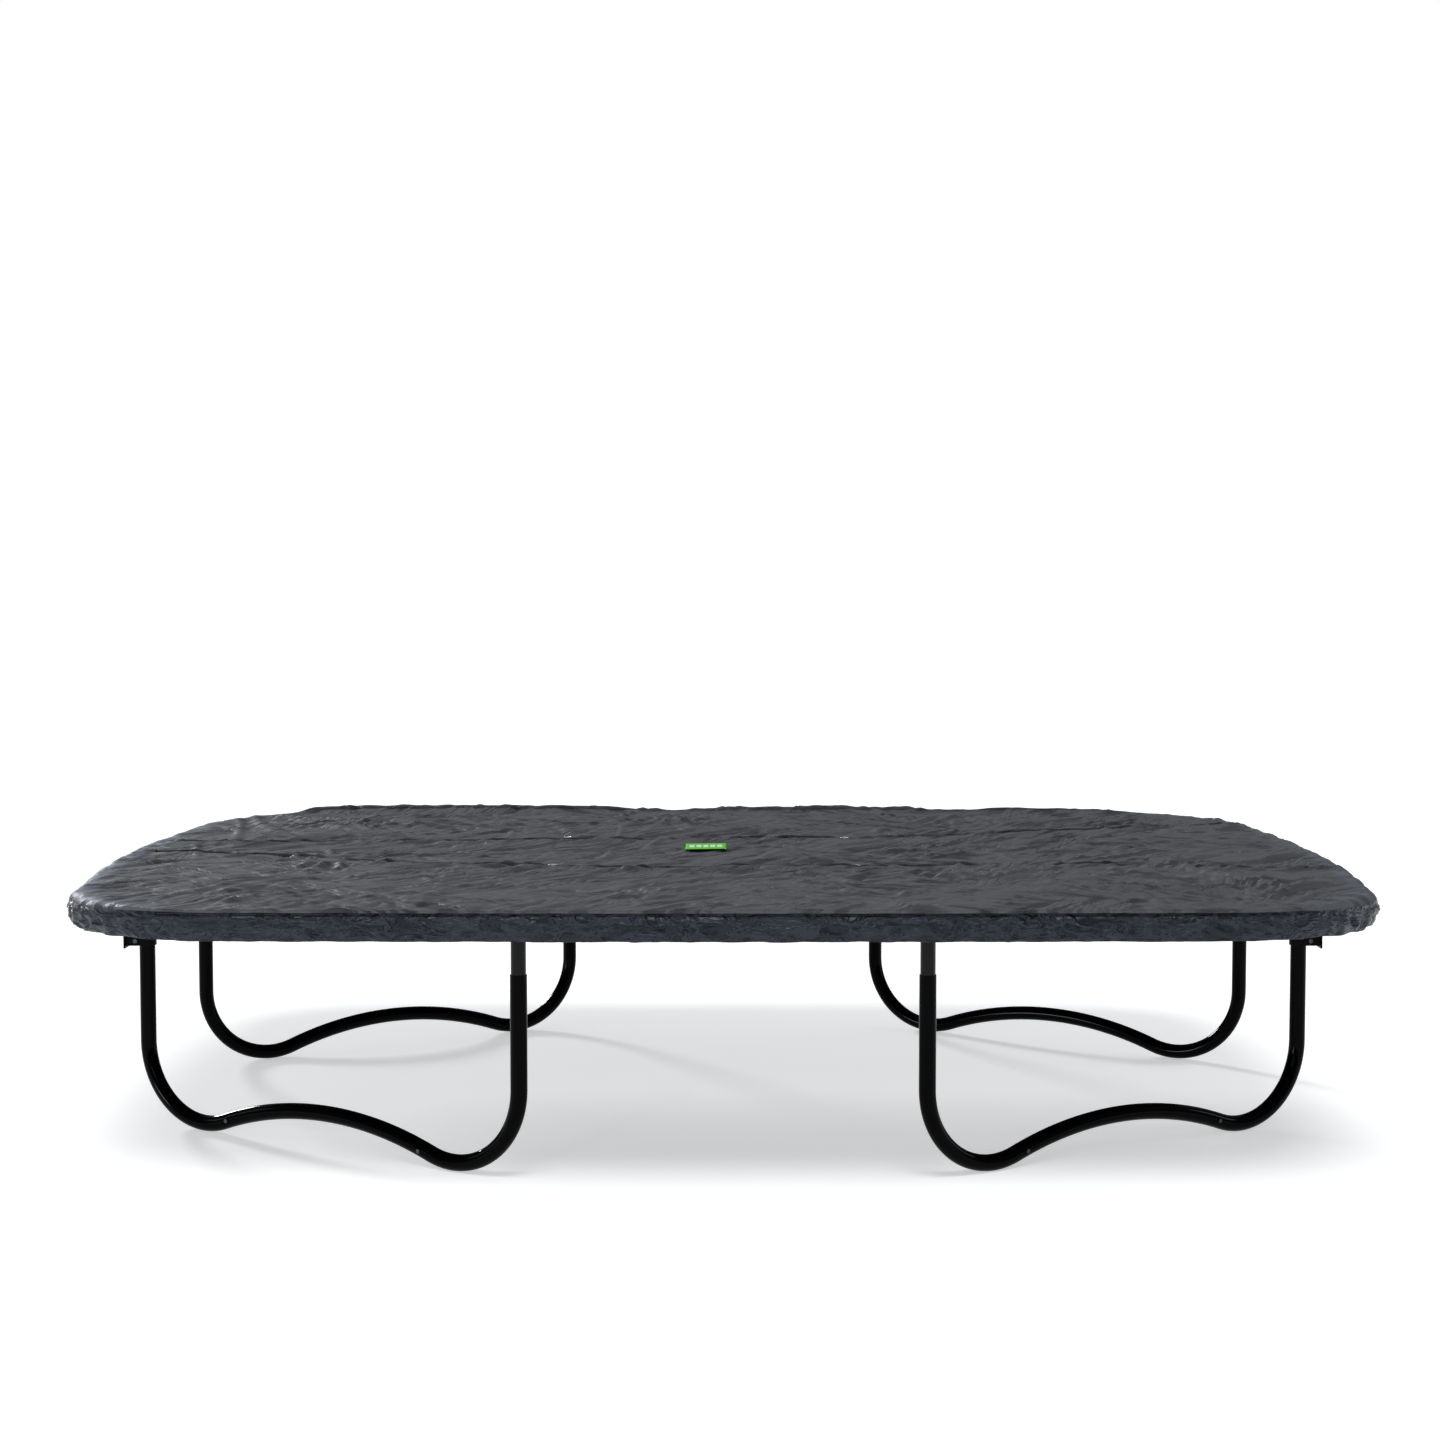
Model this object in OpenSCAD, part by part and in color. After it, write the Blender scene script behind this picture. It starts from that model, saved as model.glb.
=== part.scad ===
// Rectangular backyard trampoline with its weather cover on.
// Millimetres. +X along the long side, +Y towards the back, +Z up.
// Origin on the ground, under the middle of the frame.
// The frame, legs and mat are mirrored about X = 0 and Y = 0, so most pieces are drawn once,
// for the back right quarter, and mirrored into place.

/* [Frame] */
// Length of the frame between the axes of its end tubes
frame_l = 2800; // [2400:10:3400]
// Width of the frame between the axes of its side tubes
frame_w = 1890; // [1700:10:2300]
// Height of the frame tube's axis above the ground
frame_h = 571; // [530:1:900]
// Radius of the frame's corners, on the tube's axis
corner_r = 340; // [300:5:420]
// Outside diameter of the frame and leg tube
tube_d = 38; // [32:1:46]
// Wall of every tube
tube_wall = 1.5; // [1:0.1:2.5]
// Gap left between the ends of two frame tubes inside a socket
tube_end_gap = 2; // [1:1:6]

/* [T-sockets] */
// Distance from the frame's centre to a leg socket on the long sides
side_socket_x = 450; // [380:5:560]
// Distance from the frame's centre to a leg socket on the short ends
end_socket_y = 348; // [260:5:440]
// Length of a socket's sleeve
sleeve_l = 150; // [110:5:170]
// Wall of the sleeve
sleeve_wall = 2; // [1.5:0.5:4]
// Radial clearance between sleeve and frame tube
sleeve_gap = 0.2; // [0.1:0.05:0.5]
// Radial clearance between the stub and the leg tube that slides over it
stub_gap = 0.5; // [0.2:0.1:1.5]
// Length of stub inside the leg
stub_in_leg = 90; // [50:5:150]

/* [Legs] */
// Height of the top end of a leg post
post_top = 460; // [400:5:500]
// Height of the joint between a post and its foot bend
post_seam = 224; // [212:1:300]
// Radius of the foot bend, on the tube's axis
bend_r = 185; // [150:5:190]
// Slope of the foot where the bend ends and the arch starts, in degrees
foot_slope = 20; // [16:1:24]
// Length of the reduced tube end that fits into the next tube
spigot_l = 45; // [30:5:60]
// Radial clearance round a reduced tube end
spigot_gap = 0.2; // [0.1:0.05:0.4]

/* [Leg screws] */
// Diameter of the self-tapping screws in the legs
screw_d = 4.8; // [4:0.1:6]
// Diameter of their heads
screw_head_d = 10; // [8:0.5:12]
// Height of their heads
screw_head_h = 3.2; // [2:0.1:4]
// Length of the screws under the head
screw_l = 14; // [10:1:16]
// Distance from an arch tube's end to its screw
screw_inset = 22; // [12:1:26]
// Radial clearance of the holes for screws and bolts
hole_gap = 0.2; // [0.1:0.05:0.5]

/* [Net pole brackets] */
// Height of the middle of a bracket above the ground
bracket_h = 448; // [400:1:448]
// Thickness of the strap round the leg post
strap_t = 3; // [2:0.5:5]
// Width of the strap, along the post
strap_w = 24; // [16:1:30]
// Radial clearance between strap and leg post
strap_gap = 0.3; // [0.2:0.1:1]
// Distance from the post's axis to the inner face of the lug plate
lug_reach = 48; // [44:1:70]
// Thickness of the lug plate
lug_t = 4; // [3:0.5:6]
// Width of the lug plate across the post
lug_w = 56; // [54:1:70]
// Height of the lug plate
lug_tall = 36; // [28:1:50]
// Diameter of its two holes, for a U-bolt round a pole
lug_hole_d = 6.6; // [5.5:0.1:8.5]
// Distance between the two holes, across the post
lug_hole_pitch = 36; // [30:1:40]
// Diameter of the bolt that closes the strap
bolt_d = 6; // [5:1:6]
// Width of the bolt's hexagon across its corners
hex_d = 11.5; // [10:0.5:13]
// Thickness of its head and nut
hex_t = 4.5; // [4:0.5:6]

/* [Mat] */
// Distance from the frame tube's axis in to the mat's edge
mat_inset = 150; // [150:5:180]
// Thickness of the mat's fabric
mat_t = 3; // [2:0.5:4]
// Width of the webbing sewn round the mat's edge
hem_w = 50; // [30:5:70]
// Thickness of that webbing
hem_t = 2; // [1:0.5:3]

/* [Rings and springs] */
// Springs along each long side
side_springs = 18; // [12:2:22]
// Springs along each short end
end_springs = 10; // [6:2:14]
// Springs round each corner
corner_springs = 4; // [3:1:5]
// Thickness of the wire in the mat's rings
ring_wire = 5; // [4:0.5:6]
// Width of a ring along the mat's edge
ring_w = 40; // [34:1:46]
// Depth of a ring from its sewn bar to its point
ring_depth = 34; // [30:1:38]
// Thickness of a spring's wire
wire_d = 3.5; // [3:0.1:4]
// Outside diameter of a spring's coil
coil_d = 22; // [18:1:26]
// Distance from the frame tube's axis in to the near end of the coil
coil_inset = 36; // [30:1:42]
// Diameter of the holes in the frame for the springs' hooks
hook_hole_d = 8; // [6:0.5:10]

/* [Safety pad] */
// Thickness of the foam pad
pad_t = 25; // [15:1:35]
// Distance from the frame tube's axis in to the pad's inner edge
pad_inset = 170; // [150:5:220]
// Gap between the socket sleeves and the pad
pad_gap = 0.3; // [0.2:0.1:2]

// Degrees of each corner that the front and back lengths of pad and skirt go round
corner_share = 38; // [30:1:60]

/* [Weather cover] */
// Distance from the frame tube's axis out to the cover's edge, at the middle of a side
cover_over = 140; // [110:5:170]
// Radius of the cover's corners
cover_r = 420; // [360:10:460]
// How far the short ends bulge out between the corners
end_bulge = 42; // [0:1:60]
// How far the long sides bulge out between the corners
side_bulge = 12; // [0:1:30]
// Thickness of the cover's sheeting, with its hem and seams
cover_t = 2; // [1:0.5:3]
// Height of the skirt from its hem up to the cover's top
skirt_h = 68; // [50:1:120]
// Gap between skirt and pad
skirt_gap = 1; // [0.5:0.5:5]
// Thickness of the elastic cord in the hem
elastic_d = 4; // [3:0.5:6]
// Place of the back seam in the cover's top, from the middle
back_seam_y = 400; // [300:5:480]
// Place of the front seam in the cover's top, from the middle
front_seam_y = -220; // [-480:5:-200]
// Shift of the cover's eyelets and label along the seams
trim_shift = -44; // [-60:1:60]
// Distance between the two eyelets on a seam
eyelet_pitch = 756; // [500:2:1000]
// Distance from a seam back to its eyelets
eyelet_off = 32; // [24:1:40]
// Outside diameter of an eyelet
eyelet_d = 24; // [18:1:30]
// Diameter of its hole
eyelet_hole_d = 11; // [8:1:14]
// Thickness of an eyelet's flange
eyelet_t = 0.8; // [0.5:0.1:1.5]
// Length of the label along X
label_l = 107; // [60:1:160]
// Width of the label along Y
label_w = 118; // [40:1:140]
// Thickness of the label
label_t = 0.5; // [0.3:0.1:1]
// Distance of the label's centre behind the middle
label_y = 176; // [120:1:240]

/* [Hidden] */
// Each quarter of the object: name, mirror in X, mirror in Y
QUARTERS = [["front_left", -1, -1], ["front_right", 1, -1],
            ["back_left", -1, 1], ["back_right", 1, 1]];
FRONT_BACK = [["front", -1], ["back", 1]];
LEFT_RIGHT = [["left", -1], ["right", 1]];
LEG_PIECES = ["end_post", "side_post", "end_bend", "side_bend", "arch"];

function quarter_names(prefix, suffix = "") = [for (q = QUARTERS) str(prefix, q[0], suffix)];

// Steps round a full circle in the curved faces
round_fn = 64;
// Overlap that lets a cut pass right through a face
cut = 1;

half_l = frame_l / 2;
half_w = frame_w / 2;
tube_r = tube_d / 2;
bore_d = tube_d - 2 * tube_wall;

// Sockets
sleeve_id = tube_d + 2 * sleeve_gap;
sleeve_od = sleeve_id + 2 * sleeve_wall;
stub_d = bore_d - 2 * stub_gap;

// Legs: each stands on a line between an end socket and a side socket
leg_dx = half_l - side_socket_x;
leg_dy = half_w - end_socket_y;
leg_l = sqrt(leg_dx * leg_dx + leg_dy * leg_dy);
leg_turn = atan2(leg_dy, -leg_dx);
bend_z = tube_r + bend_r;
arch_x = bend_r * (1 + sin(foot_slope));
arch_z = bend_z - bend_r * cos(foot_slope);
arch_r = (leg_l / 2 - arch_x) / sin(foot_slope);
arch_cz = arch_z - arch_r * cos(foot_slope);
spigot_d = bore_d - 2 * spigot_gap;
bend_bore_d = spigot_d - 2 * tube_wall;
// The arch's spigot is rooted this far inside the bend, with a slightly smaller bore
root_l = 5;
root_step = 0.6;
function turn_of(length) = length / arch_r * 180 / PI;
screw_turn = turn_of(screw_inset);

// Bracket
strap_ir = tube_r + strap_gap;
strap_or = strap_ir + strap_t;
bolt_x = tube_r + bolt_d / 2 + strap_gap + 2;

// Mat, rings and springs, measured from the frame tube's axis inwards
mat_half_l = half_l - mat_inset;
mat_half_w = half_w - mat_inset;
mat_r = corner_r - mat_inset;
hem_top = mat_t / 2 + hem_t;
loop_gap = 0.3;
loop_wall = 2.5;
bar_off = loop_wall + loop_gap;
loop_depth = 2 * bar_off + ring_wire;
loop_w = ring_w - 4 * ring_wire;
strap_tab = 20;
ring_tip = mat_inset - bar_off - ring_depth;
hook_lift = ring_wire / 2 + wire_d / 2 + 0.4;
hook_in = ring_tip + ring_wire + wire_d + 2;
coil_end = ring_tip - wire_d / 2;

// Cover and pad
pad_z = frame_h + sleeve_od / 2 + pad_gap;
cover_z = pad_z + pad_t;
hem_z = cover_z + cover_t - skirt_h;
cover_half_l = half_l + cover_over;
cover_half_w = half_w + cover_over;
split_x = cover_half_l - end_bulge - cover_r;
split_y = cover_half_w - side_bulge - cover_r;
split_dx = 2 * cover_r * sin(corner_share);
split_dy = 2 * cover_r * cos(corner_share);

// Places of the springs: [x, y, direction out to the frame] on the frame tube's axis, back right quarter
function line_places(n, span) = [for (i = [0 : n / 2 - 1]) (i + 0.5) * span / n];
side_places = [for (x = line_places(side_springs, frame_l - 2 * corner_r)) [x, half_w, 90]];
end_places = [for (y = line_places(end_springs, frame_w - 2 * corner_r)) [half_l, y, 0]];
corner_places = [for (i = [0 : corner_springs - 1]) let (t = (i + 0.5) * 90 / corner_springs)
    [half_l - corner_r + corner_r * cos(t), half_w - corner_r + corner_r * sin(t), t]];
all_places = concat(side_places, end_places, corner_places);

// Outline of a rounded rectangle whose sides bulge: half sizes at the middle of its sides
function arc_points(cx, cy, r, a0) = [for (i = [0 : 12]) let (t = a0 + i * 7.5) [cx + r * cos(t), cy + r * sin(t)]];
function bulge_steps() = [for (i = [-5 : 5]) i / 6];
function outline(a, b, r, end_out, side_out) =
    let (cx = a - end_out - r, cy = b - side_out - r)
    concat(
        end_out > 0 ? [for (u = bulge_steps()) [a - end_out * u * u, u * cy]] : [],
        arc_points(cx, cy, r, 0),
        side_out > 0 ? [for (u = bulge_steps()) [-u * cx, b - side_out * u * u]] : [],
        arc_points(-cx, cy, r, 90),
        end_out > 0 ? [for (u = bulge_steps()) [-a + end_out * u * u, -u * cy]] : [],
        arc_points(-cx, -cy, r, 180),
        side_out > 0 ? [for (u = bulge_steps()) [u * cx, -b + side_out * u * u]] : [],
        arc_points(cx, -cy, r, 270)
    );
// The cover's outline, moved in by a distance
function cover_outline(inset) = outline(cover_half_l - inset, cover_half_w - inset, cover_r - inset,
                                        end_bulge, side_bulge);
function frame_outline(inset) = outline(half_l - inset, half_w - inset, corner_r - inset, 0, 0);

// ---- shared shapes ----
module quarter(q) {
    mirror([q[1] < 0 ? 1 : 0, 0, 0]) mirror([0, q[2] < 0 ? 1 : 0, 0]) children();
}

module each_quarter() {
    for (q = QUARTERS) quarter(q) children();
}

module pipe(length, od, id) {
    linear_extrude(height = length, convexity = 4) difference() {
        circle(d = od, $fn = round_fn);
        circle(d = id, $fn = round_fn);
    }
}

// Part of a ring of tube in the XY plane, from the +X axis towards +Y
module pipe_arc(r, angle, od, id) {
    rotate_extrude(angle = angle, convexity = 4, $fn = round_fn) translate([r, 0]) difference() {
        circle(d = od, $fn = round_fn);
        circle(d = id, $fn = round_fn);
    }
}

module hexagon(h) {
    cylinder(h = h, d = hex_d, $fn = 6);
}

// Holes for the springs' hooks, through the wall that faces the mat
module hook_holes(places) {
    for (p = places) translate([p[0], p[1], frame_h]) rotate([0, 0, p[2]]) rotate([0, -90, 0])
        cylinder(h = sleeve_od, d = hook_hole_d, $fn = 24);
}

function near_side_socket(p) = abs(p[0] - side_socket_x) < (sleeve_l + hook_hole_d) / 2;
function near_end_socket(p) = abs(p[1] - end_socket_y) < (sleeve_l + hook_hole_d) / 2;

// ---- frame ----
module frame_corner() color([0.05, 0.05, 0.055]) {
    side_l = half_l - corner_r - side_socket_x - tube_end_gap / 2;
    end_l = half_w - corner_r - end_socket_y - tube_end_gap / 2;
    difference() {
        translate([0, 0, frame_h]) union() {
            translate([half_l - corner_r, half_w - corner_r, 0]) pipe_arc(corner_r, 90, tube_d, bore_d);
            translate([half_l - corner_r, half_w, 0]) rotate([0, -90, 0]) pipe(side_l, tube_d, bore_d);
            translate([half_l, half_w - corner_r, 0]) rotate([90, 0, 0]) pipe(end_l, tube_d, bore_d);
        }
        hook_holes(concat(
            [for (p = side_places) if (p[0] > side_socket_x - hook_hole_d) p],
            [for (p = end_places) if (p[1] > end_socket_y - hook_hole_d) p],
            corner_places));
    }
}

module side_tube() color([0.05, 0.05, 0.055]) {
    length = 2 * side_socket_x - tube_end_gap;
    holes = [for (p = side_places) if (p[0] < side_socket_x + hook_hole_d) p];
    difference() {
        translate([-length / 2, half_w, frame_h]) rotate([0, 90, 0]) pipe(length, tube_d, bore_d);
        hook_holes(holes);
        mirror([1, 0, 0]) hook_holes(holes);
    }
}

module end_tube() color([0.05, 0.05, 0.055]) {
    length = 2 * end_socket_y - tube_end_gap;
    holes = [for (p = end_places) if (p[1] < end_socket_y + hook_hole_d) p];
    difference() {
        translate([half_l, length / 2, frame_h]) rotate([90, 0, 0]) pipe(length, tube_d, bore_d);
        hook_holes(holes);
        mirror([0, 1, 0]) hook_holes(holes);
    }
}

// Sleeve along X with a stub that hangs into the leg, its middle at the origin
module t_socket() {
    stub_top = sleeve_id / 2 + sleeve_wall / 2;
    stub_l = frame_h - stub_top - post_top + stub_in_leg;
    difference() {
        union() {
            translate([-sleeve_l / 2, 0, 0]) rotate([0, 90, 0])
                cylinder(h = sleeve_l, d = sleeve_od, $fn = round_fn);
            translate([0, 0, -stub_top - stub_l]) cylinder(h = stub_l + stub_top, d = stub_d, $fn = round_fn);
        }
        translate([-sleeve_l / 2 - cut, 0, 0]) rotate([0, 90, 0])
            cylinder(h = sleeve_l + 2 * cut, d = sleeve_id, $fn = round_fn);
        translate([0, 0, -stub_top - stub_l - cut])
            cylinder(h = stub_l + cut, d = stub_d - 2 * tube_wall, $fn = round_fn);
    }
}

module side_socket() color([0.12, 0.12, 0.13]) difference() {
    translate([side_socket_x, half_w, frame_h]) t_socket();
    hook_holes([for (p = side_places) if (near_side_socket(p)) p]);
}

module end_socket() color([0.12, 0.12, 0.13]) difference() {
    translate([half_l, end_socket_y, frame_h]) rotate([0, 0, 90]) t_socket();
    hook_holes([for (p = end_places) if (near_end_socket(p)) p]);
}

// ---- legs, drawn in their own plane: X from the end post to the side post, Z up ----
module leg_plane() {
    translate([half_l, end_socket_y, 0]) rotate([0, 0, leg_turn]) children();
}

module side_end() {
    translate([leg_l, 0, 0]) mirror([1, 0, 0]) children();
}

module screw_places() {
    for (turn = [foot_slope - screw_turn, screw_turn - foot_slope])
        translate([leg_l / 2 - arch_r * sin(turn), 0, arch_cz + arch_r * cos(turn)]) rotate([90, 0, 0])
            children();
}

module screw_holes() {
    screw_places() cylinder(h = tube_d, d = screw_d + 2 * hole_gap, $fn = 24);
}

module leg_post() color([0.04, 0.04, 0.045]) {
    translate([0, 0, post_seam]) pipe(post_top - post_seam, tube_d, bore_d);
}

module leg_bend() color([0.04, 0.04, 0.045]) difference() {
    union() {
        // upright end, with the part that fits into the post
        translate([0, 0, bend_z]) pipe(post_seam - bend_z, tube_d, bend_bore_d);
        translate([0, 0, post_seam]) pipe(spigot_l, spigot_d, bend_bore_d);
        // bend through the lowest point, up to the arch
        translate([bend_r, 0, bend_z]) rotate([90, 0, 0]) rotate([0, 0, 180])
            pipe_arc(bend_r, 90 + foot_slope, tube_d, bend_bore_d);
        // part that fits into the arch
        translate([leg_l / 2, 0, arch_cz]) rotate([90, 0, 0]) rotate([0, 0, 90 + foot_slope - turn_of(spigot_l)])
            pipe_arc(arch_r, turn_of(spigot_l + root_l), spigot_d, bend_bore_d - root_step);
    }
    screw_holes();
}

module leg_arch() color([0.04, 0.04, 0.045]) difference() {
    translate([leg_l / 2, 0, arch_cz]) rotate([90, 0, 0]) rotate([0, 0, 90 - foot_slope])
        pipe_arc(arch_r, 2 * foot_slope, tube_d, bore_d);
    screw_holes();
}

module leg_screws() color([0.75, 0.75, 0.76]) each_quarter() leg_plane() screw_places()
    translate([0, 0, tube_r]) {
        cylinder(h = screw_head_h, d = screw_head_d, $fn = 32);
        translate([0, 0, -screw_l]) cylinder(h = screw_l, d = screw_d, $fn = 24);
    }

// ---- brackets for a net's poles, on the end posts ----
module pole_bracket() color([0.1, 0.1, 0.105]) translate([half_l, end_socket_y, bracket_h]) difference() {
    union() {
        translate([0, 0, -strap_w / 2]) linear_extrude(height = strap_w) difference() {
            union() {
                circle(r = strap_or, $fn = round_fn);
                translate([0, -strap_or]) square([lug_reach, 2 * strap_or]);
            }
            circle(r = strap_ir, $fn = round_fn);
            translate([0, -strap_ir]) square([lug_reach + cut, 2 * strap_ir]);
        }
        translate([lug_reach, -lug_w / 2, -lug_tall / 2]) cube([lug_t, lug_w, lug_tall]);
    }
    for (y = [-0.5, 0.5] * lug_hole_pitch) translate([lug_reach - cut, y, 0]) rotate([0, 90, 0])
        cylinder(h = lug_t + 2 * cut, d = lug_hole_d, $fn = 32);
    translate([bolt_x, -strap_or - cut, 0]) rotate([-90, 0, 0])
        cylinder(h = 2 * (strap_or + cut), d = bolt_d + 2 * hole_gap, $fn = 32);
}

module bracket_bolts() color([0.75, 0.75, 0.76]) each_quarter()
    translate([half_l + bolt_x, end_socket_y, bracket_h]) {
        rotate([-90, 0, 0]) cylinder(h = 2 * strap_or, d = bolt_d, center = true, $fn = 32);
        translate([0, strap_or, 0]) rotate([-90, 0, 0]) hexagon(hex_t);
        translate([0, -strap_or, 0]) rotate([90, 0, 0]) hexagon(hex_t);
    }

// ---- mat, its rings and the springs ----
// Children are drawn once a spring: the frame tube's axis at X = 0, the mat towards -X
module at_each_spring() {
    each_quarter() for (p = all_places) translate([p[0], p[1], frame_h]) rotate([0, 0, p[2]]) children();
}

module mat() color([0.06, 0.06, 0.06]) {
    translate([0, 0, frame_h - mat_t / 2]) linear_extrude(height = mat_t) polygon(frame_outline(mat_inset));
}

// Webbing on the mat's edge, with a loop round each ring's sewn bar
module mat_hem() color([0.1, 0.1, 0.1]) {
    translate([0, 0, frame_h + mat_t / 2]) linear_extrude(height = hem_t) difference() {
        polygon(frame_outline(mat_inset));
        polygon(frame_outline(mat_inset + hem_w));
    }
    at_each_spring() translate([-mat_inset, -loop_w / 2, 0]) {
        translate([-strap_tab, 0, hem_top - hem_t / 2])
            cube([strap_tab + loop_depth, loop_w, loop_wall + hem_t / 2]);
        difference() {
            translate([0.05, 0, -hem_top - loop_wall]) cube([loop_depth - 0.05, loop_w, 2 * hem_top + loop_wall]);
            translate([loop_wall, -cut, -hem_top])
                cube([loop_depth - 2 * loop_wall, loop_w + 2 * cut, 2 * hem_top]);
        }
    }
}

// Triangular ring: its bar lies in the webbing loop and its point faces the spring
module mat_rings() color([0.6, 0.6, 0.62]) at_each_spring()
    translate([-mat_inset + bar_off, 0, -ring_wire / 2]) linear_extrude(height = ring_wire) difference() {
        polygon([[0, -ring_w / 2], [ring_wire, -ring_w / 2], [ring_depth, -ring_wire],
                 [ring_depth, ring_wire], [ring_wire, ring_w / 2], [0, ring_w / 2]]);
        polygon([[ring_wire, -ring_w / 2 + 1.6 * ring_wire], [ring_depth - ring_wire, -ring_wire / 2],
                 [ring_depth - ring_wire, ring_wire / 2], [ring_wire, ring_w / 2 - 1.6 * ring_wire]]);
    }

// Extension spring: coil whose last turn crosses its end, hook over the ring's point,
// straight hook into the frame's hole
module springs() color([0.6, 0.6, 0.62]) at_each_spring() {
    translate([-coil_end, 0, 0]) rotate([0, 90, 0]) pipe(coil_end - coil_inset, coil_d, coil_d - 2 * wire_d);
    for (x = [-coil_end, -coil_inset - wire_d]) translate([x + wire_d / 2, 0, 0])
        cylinder(h = coil_d - wire_d, d = wire_d, center = true, $fn = 24);
    translate([-coil_inset - wire_d / 2, 0, 0]) rotate([0, 90, 0])
        cylinder(h = coil_inset + wire_d / 2 - tube_r + 3 * tube_wall, d = wire_d, $fn = 24);
    translate([-hook_in, 0, hook_lift]) rotate([0, 90, 0])
        cylinder(h = hook_in - coil_end + wire_d / 2, d = wire_d, $fn = 24);
    translate([-hook_in, 0, -ring_wire / 2]) cylinder(h = hook_lift + ring_wire / 2, d = wire_d, $fn = 24);
}

// ---- pad and cover ----
// Keeps the part of a ring of sheeting that lies on one side of the object
module front_or_back_part(s) intersection() {
    children();
    polygon([[-split_x, s * split_y], [split_x, s * split_y],
             [split_x + split_dx, s * (split_y + split_dy)], [-split_x - split_dx, s * (split_y + split_dy)]]);
}

module left_or_right_part(s) intersection() {
    children();
    polygon([[s * split_x, -split_y], [s * (split_x + split_dx), -split_y - split_dy],
             [s * (split_x + split_dx), split_y + split_dy], [s * split_x, split_y]]);
}

module pad_ring() difference() {
    polygon(cover_outline(cover_t + skirt_gap));
    polygon(frame_outline(pad_inset));
}

module skirt_ring() difference() {
    polygon(cover_outline(0));
    polygon(cover_outline(cover_t));
}

module pad() color([0.07, 0.1, 0.09]) {
    translate([0, 0, pad_z]) linear_extrude(height = pad_t) children();
}

module skirt() color([0.1, 0.11, 0.14]) {
    translate([0, 0, hem_z]) linear_extrude(height = cover_z - hem_z) children();
}

// One width of sheeting between two seams, as far out as the cover's outline
module cover_panel(y0, y1) color([0.25, 0.26, 0.28]) difference() {
    translate([0, 0, cover_z]) linear_extrude(height = cover_t) intersection() {
        polygon(cover_outline(0));
        translate([-cover_half_l - cut, y0]) square([2 * (cover_half_l + cut), y1 - y0]);
    }
    at_each_eyelet() translate([0, 0, -cover_t - cut])
        cylinder(h = cover_t + 2 * cut, d = eyelet_hole_d + 2 * eyelet_t + 2 * hole_gap, $fn = 32);
}

// The top face of the cover at each eyelet
module at_each_eyelet() {
    for (y = [front_seam_y, back_seam_y], x = [-0.5, 0.5] * eyelet_pitch)
        translate([x + trim_shift, y + eyelet_off, cover_z + cover_t]) children();
}

module cover_eyelets() color([0.8, 0.8, 0.82]) at_each_eyelet() difference() {
    union() {
        cylinder(h = eyelet_t, d = eyelet_d, $fn = 48);
        translate([0, 0, -cover_t]) cylinder(h = cover_t, d = eyelet_hole_d + 2 * eyelet_t, $fn = 48);
        translate([0, 0, -cover_t - eyelet_t]) cylinder(h = eyelet_t, d = eyelet_d, $fn = 48);
    }
    translate([0, 0, -cover_t - eyelet_t - cut])
        cylinder(h = cover_t + 2 * eyelet_t + 2 * cut, d = eyelet_hole_d, $fn = 48);
}

module hem_elastic() color([0.05, 0.05, 0.05]) {
    translate([0, 0, hem_z]) linear_extrude(height = elastic_d) difference() {
        polygon(cover_outline(cover_t));
        polygon(cover_outline(cover_t + elastic_d));
    }
}

module cover_label() color([0.1, 0.45, 0.2]) {
    translate([trim_shift - label_l / 2, label_y - label_w / 2, cover_z + cover_t])
        cube([label_l, label_w, label_t]);
}

// ---- the object ----
for (q = QUARTERS) {
    quarter(q) frame_corner();
    quarter(q) side_socket();
    quarter(q) end_socket();
    quarter(q) leg_plane() leg_post();
    quarter(q) leg_plane() side_end() leg_post();
    quarter(q) leg_plane() leg_bend();
    quarter(q) leg_plane() side_end() leg_bend();
    quarter(q) leg_plane() leg_arch();
    quarter(q) pole_bracket();
}
for (s = FRONT_BACK) {
    quarter([s[0], 1, s[1]]) side_tube();
    pad() front_or_back_part(s[1]) pad_ring();
    skirt() front_or_back_part(s[1]) skirt_ring();
}
for (s = LEFT_RIGHT) {
    quarter([s[0], s[1], 1]) end_tube();
    pad() left_or_right_part(s[1]) pad_ring();
    skirt() left_or_right_part(s[1]) skirt_ring();
}
bracket_bolts();
leg_screws();
springs();
mat();
mat_hem();
mat_rings();
cover_panel(-cover_half_w - cut, front_seam_y);  // cover_panel_front
cover_panel(front_seam_y, back_seam_y);  // cover_panel_middle
cover_panel(back_seam_y, cover_half_w + cut);  // cover_panel_back
hem_elastic();
cover_eyelets();
cover_label();
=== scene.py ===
import math
import bpy
import bmesh
import numpy as np
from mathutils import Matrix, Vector
from mathutils.geometry import delaunay_2d_cdt


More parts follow.
